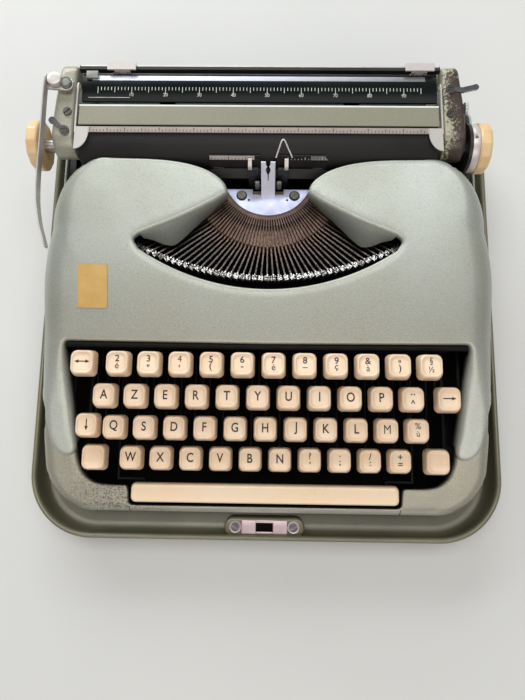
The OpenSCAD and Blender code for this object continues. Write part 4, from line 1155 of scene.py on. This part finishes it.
# Painted shade: dark rings round the plate screws for their countersinks, and dark discs for the holes in the
# plate and the segment.
marks = [disc(17.0, 64.3, PLATE_Z + 0.03, 3.5, 2.5), disc(12.3, 61.4, PLATE_Z + 0.03, 0.75),
         disc(31.0, 70.2, SEGMENT_Z + 0.06, 0.9)]
make("segment_plate_holes", merge(*marks), JAPAN, "machine")

# %% [markdown]
# ### Print point
# Scale strips run along the card holders, a bent wire finger holds the paper, and small
# clips on the ribbon lift and two grey posts guide the ribbon.

# %%
HOLDER_FOOT, HOLDER_RISE = (75.66, 89.06), (3.8, 9.4)


def on_holder(x, share):
    """A point on the front face of a card holder, a little clear of it."""
    return x, *[a + b * share for a, b in zip(HOLDER_FOOT, HOLDER_RISE)]


def holder_strip(low, high, h0=0.7, h1=1.0):
    """A strip between two heights; low and high are its ends in X at either height."""
    return loft([[on_holder(x, h0) for x in low], [on_holder(x, h1) for x in high]], False, False)


def holder_marks(x0):
    """Twelve letter marks, every fifth one taller, just proud of the strip."""
    marks = []
    for k in range(12):
        ends = [x0 + k * LETTER + dx for dx in (-0.2, 0.2)]
        marks.append(holder_strip(ends, ends, 0.72, 0.8 if k % 5 else 0.92))
    return moved(merge(*marks), y=-0.05)


make("card_scale", holder_strip((-36.0, -8.5), (-36.0, -8.5)), PALE, "machine")
make("card_marks_left", holder_marks(-35.0), INK, "machine")
make("card_scale_right", holder_strip((26.0, 37.0), (26.0, 34.6)), GREY, "machine")
make("card_marks_right", holder_marks(12.0), PAINT, "machine")
wire = spline([(4.6, 79.0, 97.4), (5.1, 79.9, 98.0), (6.7, 84.2, 99.8), (8.0, 87.8, 100.8),
               (9.1, 88.8, 100.95), (10.2, 87.8, 100.8), (12.0, 84.0, 99.7), (14.2, 79.9, 98.0),
               (14.6, 79.0, 97.4)], 8)
make("paper_finger", tube(wire, 0.5, 8), PALE, "machine")


def strap(path, x, width, thick):
    """A bent strip of metal, its path given in the YZ plane."""
    rows = []
    for k, (y, z) in enumerate(path):
        (ay, az), (by, bz) = neighbours(path, k)
        size = math.hypot(by - ay, bz - az)
        ny, nz = -(bz - az) / size * thick, (by - ay) / size * thick
        rows.append([(x - width / 2, y, z), (x + width / 2, y, z),
                     (x + width / 2, y + ny, z + nz), (x - width / 2, y + ny, z + nz)])
    return loft(rows)


hook = spline([(73.2, 93.6), (74.0, 95.4), (76.2, 97.2), (77.4, 97.8), (77.8, 97.2)], 5)
CLIP_X, GUIDE_POST_X = 11.2, 6.9
clips = [strap(hook, sx * CLIP_X, 2.3, 0.6) for sx in (-1, 1)]
make("ribbon_clips", merge(*clips), PALE, "vibrator")
posts = [moved(box((-1.5, 69.2, 74.0), (1.5, 70.8, 83.6), 0.4), sx * GUIDE_POST_X) for sx in (-1, 1)]
make("guide_posts", merge(*posts), GREY, "machine")

# %% [markdown]
# ### Ribbon
# The inked ribbon is a strip of cloth stretched from spool to spool past the print point.
# Its ends lie at the spools.

# %%
RIBBON_H = 13.0
RIGHT_RUN = [(20.0, 75.0, 78.0), (34.0, 74.8, 77.6), (46.0, 72.8, 74.4), (60.0, 70.2, 70.4),
             (72.2, 68.0, 66.9)]
left_run = [(-x, y, z) for x, y, z in reversed(RIGHT_RUN)]
route = spline(left_run + [(0.0, 75.0, 78.0)] + RIGHT_RUN, 6)
rows = [[(x, y, z + h) for x, y, z in route] for h in [RIBBON_H * k / 6 for k in range(7)]]
ribbon = make("ribbon_strip", loft(rows, False, False), CLOTH, None)
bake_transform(ribbon)
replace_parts(ribbon, "ribbon")

# %% [markdown]
# ## Carriage
# The cheeks are castings with rounded tops, wider in front. Each is a loft of upright
# sections from front to back. The right one is worn through to its primer.

# %%
def cheek():
    rows = []
    front, back = 82.0, 140.0
    widths = ((82, 12.9), (92, 13.4), (104, 13.0), (115, 12.3), (128, 11.0), (140, 9.8))
    for k in range(33):
        y = front + (back - front) * (1 - math.cos(math.pi * k / 32)) / 2
        top = CHEEK_Z - max(round_off(12, y - front), round_off(7, back - y))
        bottom = 63.0
        if y < 106:
            bottom = 78.4 - 15.4 * ease((y - 94) / 12) + round_off(12, y - front)
        for (y0, w0), (y1, w1) in zip(widths, widths[1:]):
            if y0 <= y <= y1:
                outer = INNER_X + w0 + (w1 - w0) * (y - y0) / (y1 - y0)
        r = min(2.2, (top - bottom) / 2)
        row = [(INNER_X, y, bottom), (INNER_X, y, top - r)]
        row += [(INNER_X + r - r * math.cos(a), y, top - r + r * math.sin(a))
                for a in (math.radians(d) for d in (30, 60, 90))]
        row += [(outer - r + r * math.sin(a), y, top - r + r * math.cos(a))
                for a in (math.radians(d) for d in (0, 30, 60, 90))]
        row += [(outer, y, bottom)]
        rows.append(row)
    return loft(rows)


right = merge(cheek(), cross_pin(INNER_X - 2.2, INNER_X + 1, 124, 99.4, 1.5, 16))
boss = merge(cross_pin(120, 126.6, 118, 82, 4, 24), cross_pin(120, 128.6, 118, 82, 2, 24))
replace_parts(make("left_cheek_casting", moved(mirrored(right), CARRIAGE_X), DARKER_ENAMEL, "carriage"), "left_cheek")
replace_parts(make("right_cheek_casting", moved(merge(right, boss), CARRIAGE_X), WORN, "carriage"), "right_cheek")

# %% [markdown]
# ### Knobs
# Twelve flats with narrow edges between them and a softly rounded end, in cream plastic.

# %%
KNOB_X, KNOB_R = INNER_X + 22.5, 15.6
KNOB = [(0.0, 0.88), (0.4, 0.96), (1.2, 1.0), (5.6, 0.99), (6.8, 0.96), (7.5, 0.9), (7.8, 0.8),
        (7.8, 0.15)]
corners = [math.radians(30 * i + d) for i in range(12) for d in (-13.2, 13.2)]
knob = loft([[(KNOB_X + x, PLATEN_Y + KNOB_R * share * math.cos(a),
               PLATEN_Z + KNOB_R * share * math.sin(a)) for a in corners] for x, share in KNOB])
for side, shape in (("right", knob), ("left", mirrored(knob))):
    grip = make(side + "_knob_grip", moved(shape, CARRIAGE_X), CREAM, "roll", 14)
    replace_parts(grip, side + "_knob")

# %% [markdown]
# ### Return lever
# A chromed blade on edge, bent forward along the left of the cover, on a hub plate with a
# round-headed pivot and a grey washer.

# %%
PIVOT_X, PIVOT_Y, LEVER_Z, BLADE_H = -117.5, 122.0, 104.6, 5.6
HEAD_R, WASHER_R = 4.5, 3.6
blade_path = spline([(-11.6, 126.2), (-12.3, 118.0), (-12.1, 96.0), (-12.0, 74.0), (-11.8, 58.0),
                     (-10.7, 43.0), (-8.4, 31.0), (-5.4, 21.5), (-3.8, 16.8)], 8)
rows = []
for k, (x, y) in enumerate(blade_path):
    (ax, ay), (bx, by) = neighbours(blade_path, k)
    size = math.hypot(bx - ax, by - ay)
    nx, ny = (by - ay) / size, -(bx - ax) / size
    end = 0.5 * max(0.0, (18.6 - y)) + 0.9 * max(0.0, y - 125.4)
    lo, hi = LEVER_Z + end, LEVER_Z + BLADE_H - end
    rows.append([(x + nx * dx, y + ny * dx, z) for dx, z in
                 ((0.62, lo + 0.3), (0.62, hi - 0.5), (0.3, hi), (-0.3, hi), (-0.62, hi - 0.5),
                  (-0.62, lo + 0.3), (-0.3, lo), (0.3, lo))])
hub = moved(plate([(-12.0, -3.2), (0.0, -4.3)] + arc(0, 0, 4.3, -90, 90, 12)[1:] + [(-12.0, 3.4)],
                  LEVER_Z, LEVER_Z + 1.6, 0.3), 0, PIVOT_Y)
head = turned([(HEAD_R * s, LEVER_Z + z) for s, z in
               ((0.8, 1.2), (0.95, 1.8), (1.0, 2.6), (1.0, 4.2), (0.94, 4.9), (0.8, 5.2), (0.4, 5.3))],
              -6.8, PIVOT_Y + 1.6)
washer = turned([(WASHER_R * s, LEVER_Z + z) for s, z in
                 ((1.0, 1.5), (1.0, 3.1), (0.9, 3.5), (0.4, 3.7))], 0.0, PIVOT_Y)
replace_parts(make("return_lever_blade", moved(merge(loft(rows), hub), CARRIAGE_X + PIVOT_X), BLADE,
                 "return_arm"), "return_lever")
make("return_lever_head", moved(head, CARRIAGE_X + PIVOT_X), PALE, "return_arm")
make("return_lever_cap", moved(washer, CARRIAGE_X + PIVOT_X), GREY, "return_arm")

# %% [markdown]
# ### Scales
# The paper table has painted marks every letter, longer ones every five and ten, and
# figures every ten. The bail carries the same scale, finer, in black on bare metal.

# %%
TABLE_R, TABLE_CY, TABLE_CZ = 37.5, 125, 61.2
FIRST_X, FIGURE_Y, FIGURE_SIZE = -107.0, 120.2, 3.0


def table_z(y):
    return TABLE_CZ + math.sqrt(TABLE_R**2 - (y - TABLE_CY) ** 2)


def mark(y0, y1, width, z_of, lift):
    """A thin painted stroke from y0 to y1."""
    ys = [y0 + (y1 - y0) * k / 5 for k in range(6)]
    return loft([[(x, y, z_of(y) + lift) for y in ys] for x in (-width / 2, width / 2)], False, False)


def bail_top(_):
    return PLATEN_Z + PLATEN_R + 1.5


def scale(prefix, marks, z_of, lift, first, ink, body, slot):
    """Rows of marks, each with a name, its spacing in letters, count, ends in Y and width."""
    for name, every, count, y0, y1, wide in marks:
        copies(prefix + name, mark(y0, y1, wide, z_of, lift), count, (first, 0, 0),
               (every * LETTER, 0, 0), ink, body, slot)


scale("table_marks_", [("letter", 1, 96, 123.0, 125.2, 0.36), ("five", 5, 20, 121.6, 123.1, 0.36),
                       ("ten", 10, 10, 121.0, 121.7, 0.4)],
      table_z, 0.04, FIRST_X, PAINT, "carriage", "table_black")
scale("bail_marks_", [("letter", 1, 97, 92.8, 94.1, 0.4), ("five", 5, 20, 94.0, 94.9, 0.45),
                      ("ten", 10, 10, 94.8, 95.3, 0.6)],
      bail_top, 0.03, FIRST_X - 2, INK, "bail", "frame_black")
figures = []
for ten in range(10, 100, 10):
    verts, faces = glyph(str(ten), FIGURE_SIZE)
    x = FIRST_X + ten * LETTER
    figures.append(([(a + x, b + FIGURE_Y, table_z(FIGURE_Y + b) + 0.05) for a, b, _ in verts], faces))
make("table_figures", merge(*figures), PAINT, "carriage")
rule = [[(x, y, table_z(y) + 0.04) for y in (118.2, 118.5)] for x in (-113.0, -87.0)]
make("table_rule", loft(rule, False, False), PAINT, "carriage")
# A strip of painted reflection of the window along the back of the paper table.
band = [[(x, y, table_z(y) + 0.05) for x in range(-111, 101, 4)]
        for y in (130.0, 131.2, 132.4, 133.6)]
make("table_band", loft(band, False, False), PAINTED_REFLECTION, "carriage")
# A pale strip painted as the highlight on the back edge of the paper deflector.
deflector_highlight = [[(x + CARRIAGE_X, y, 103.04 - 0.4 * (y - 97) / 13.6) for x in range(-110, 111, 5)]
         for y in (109.5, 110.6)]
make("deflector_edge", loft(deflector_highlight, False, False), GLINT, "carriage")

# %% [markdown]
# ### Small fittings
# A grey stop bracket, a pale strip painted as the highlight on the back edge of the rail, a
# dark sheet behind the paper table that stands in for shade, teeth on the margin stops, and a
# blank brass plate on the left of the cover.

# %%
bracket = merge(box((-114.6, 130.8, 98.8), (-107.2, 135.7, 99.9), 0.3),
                box((-114.0, 130.6, 95.6), (-107.6, 131.9, 99.6), 0.3))
make("stop_bracket", bracket, GREY, "carriage")
# A pale strip painted as the highlight on the back edge of the rail.
rail_edge = box((-118.6, 139.1, 98.6), (105.6, 139.9, 99.2), 0.15)
make("rail_edge", rail_edge, PALE, "carriage")
# A dark sheet behind the paper table stands in for the shade seen through the gap.
back_shade_sheet = box((-119.2, 129.0, 91.0), (106.2, 142.0, 92.2), 0.3)
make("carriage_back_plate", back_shade_sheet, JAPAN, "carriage")
tooth = box((0.0, 134.4, 97.0), (1.2, 136.4, 98.4), 0.2)
for body, x in (("stop_left", -86.0), ("stop_right", 100.0)):
    teeth = [moved(tooth, x + CARRIAGE_X + dx) for dx in (-6.0, -3.6, 3.0)]
    make(body + "_teeth", merge(*teeth), BLUED, body)
BLANK_X, BLANK_Y, BLANK_UP, BLANK_THICK = -117.0, -12.0, 0.6, 1.2
blank = [[(x, y, cover_z(x, y) + BLANK_UP) for x in [BLANK_X + 2.6 * j for j in range(8)]]
         for y in [BLANK_Y + 4.4 * k for k in range(7)]]
rim = blank[0] + [r[-1] for r in blank[1:]] + blank[-1][-2::-1] + [r[0] for r in blank[-2:0:-1]]
top = loft(blank, False, False)
bottom = moved(flipped(top), z=-BLANK_THICK)
edge = loft([[(x, y, z - BLANK_THICK) for x, y, z in rim], rim], True, False)
make("blank_plate", merge(top, bottom, edge), BRASS, "machine")

# %% [markdown]
# ## Surfaces of the solids that stay
# The remaining pieces show their solids. Each gets its material, and on some a narrow
# bevel keeps the light on the edges.

# %%
DRESS = {
    MATT_BLACK_AND_SHADE: ["basket_frame", "type_rest"],
    JAPAN: ["base_frame", "card_holders", "ribbon_vibrator", "carriage_bed",
            "ribbon_spool_left", "ribbon_spool_right", "platen_end_rings", "margin_rail"],
    LEVERS: ["number_row_levers", "top_row_levers", "home_row_levers", "bottom_row_levers",
             "space_bar_arms", "shift_yoke"],
    ENAMEL: ["rear_cover", "carriage_release_lever"],
    DULL_SAGE_AND_SHADE: ["paper_deflector"],
    STEEL: ["key_rod", "carriage_rails", "platen_shaft", "mainspring_drum"],
    PALE: ["knob_drum", "margin_stop_left", "margin_stop_right"],
    CHROME: ["latch_screws", "line_space_lever", "paper_release_lever"],
    ALLOY: ["paper_bail"],
    BLUED: ["segment_screws", "cheek_screws"],
    BARS: ["typebars"],
    BRONZE: ["segment"],
    GLOSS: ["paper_table"],
    RUBBER: ["platen", "feed_roller"],
    FOOT: ["tray_feet"],
}
BEVEL = {"rear_cover": 0.8, "paper_deflector": 0.45, "margin_stop_left": 0.3,
         "margin_stop_right": 0.3, "carriage_release_lever": 0.4, "paper_bail": 0.15,
         "line_space_lever": 0.3, "paper_release_lever": 0.3, "cheek_screws": 0.2,
         "latch_screws": 0.25, "segment_screws": 0.2, "margin_rail": 0.3, "knob_drum": 0.3,
         "platen": 0.6}
for material, names in DRESS.items():
    for name in names:
        obj = nodes[name]
        obj.data.materials.clear()
        obj.data.materials.append(material)
        if name in BEVEL:
            weld = obj.modifiers.new("weld", "WELD")
            weld.merge_threshold = 0.002 * MM
            bevel = obj.modifiers.new("edge", "BEVEL")
            bevel.width = BEVEL[name] * MM
            bevel.segments = 2
            bevel.limit_method = "ANGLE"
            bevel.angle_limit = math.radians(40)

# %% [markdown]
# ## Stage, light and camera
# A pale floor and three broad soft lights: a low window at the back left, the ceiling
# above, and the weaker light of the room from the front. The camera stands where the
# photograph was taken, nearly above the keys. The floor and the lights are placed in
# metres, the camera in millimetres.

# %%
FLOOR = 3.0
CAMERA_AT = (3.0, -94.6, 415.05)
SENSOR, LENS = 36.0, 28.8
TILT, ROLL, YAW = math.radians(9.685), math.radians(0.834), math.radians(-0.858)
floor_mesh = bpy.data.meshes.new("floor")
floor_corners = [(-FLOOR, -FLOOR, 0), (FLOOR, -FLOOR, 0), (FLOOR, FLOOR, 0), (-FLOOR, FLOOR, 0)]
floor_mesh.from_pydata(floor_corners, [], [(0, 1, 2, 3)])
floor = bpy.data.objects.new("floor", floor_mesh)
floor_mesh.materials.append(finish("pale_floor", "#D8D8D6", "#D2D2D0", 400, 5, (0.7, 0.8), 0.01))
scene.collection.objects.link(floor)


def soft_light(name, place, target, size, power, colour):
    data = bpy.data.lights.new(name, "AREA")
    data.shape = "RECTANGLE"
    data.size, data.size_y = size
    data.energy = power
    data.color = colour
    lamp = bpy.data.objects.new(name, data)
    lamp.location = place
    lamp.rotation_euler = (Vector(target) - Vector(place)).to_track_quat("-Z", "Y").to_euler()
    scene.collection.objects.link(lamp)


soft_light("window", (-0.4, 1.2, 0.66), (0, 0.05, 0.08), (1.8, 0.6), 18.5, (0.97, 1.0, 1.0))
soft_light("ceiling", (0.0, 0.3, 1.6), (0, -0.02, 0.05), (1.7, 0.7), 11.6, (1.0, 0.995, 0.98))
soft_light("room", (0.1, -1.1, 1.2), (0, -0.08, 0.05), (1.6, 1.0), 11.0, (1.0, 0.95, 0.88))
world = bpy.data.worlds.new("studio")
world.use_nodes = True
sky = world.node_tree.nodes["Background"].inputs
sky["Color"].default_value = linear("#C9CCD0")
sky["Strength"].default_value = 0.3
scene.world = world

forward = Vector((math.sin(YAW), math.sin(TILT), -math.cos(TILT))).normalized()
across = forward.cross(Vector((0, 1, 0))).normalized()
upward = across.cross(forward)
right_axis = math.cos(ROLL) * across + math.sin(ROLL) * upward
up_axis = math.cos(ROLL) * upward - math.sin(ROLL) * across
camera_data = bpy.data.cameras.new("camera")
camera_data.sensor_width = SENSOR
camera_data.lens = LENS
camera_data.clip_start = 0.01
camera = bpy.data.objects.new("camera", camera_data)
camera.matrix_world = Matrix([(right_axis[i], up_axis[i], -forward[i], CAMERA_AT[i] * MM)
                              for i in range(3)] + [(0, 0, 0, 1)])
scene.collection.objects.link(camera)
scene.camera = camera
scene.view_settings.view_transform = "Standard"
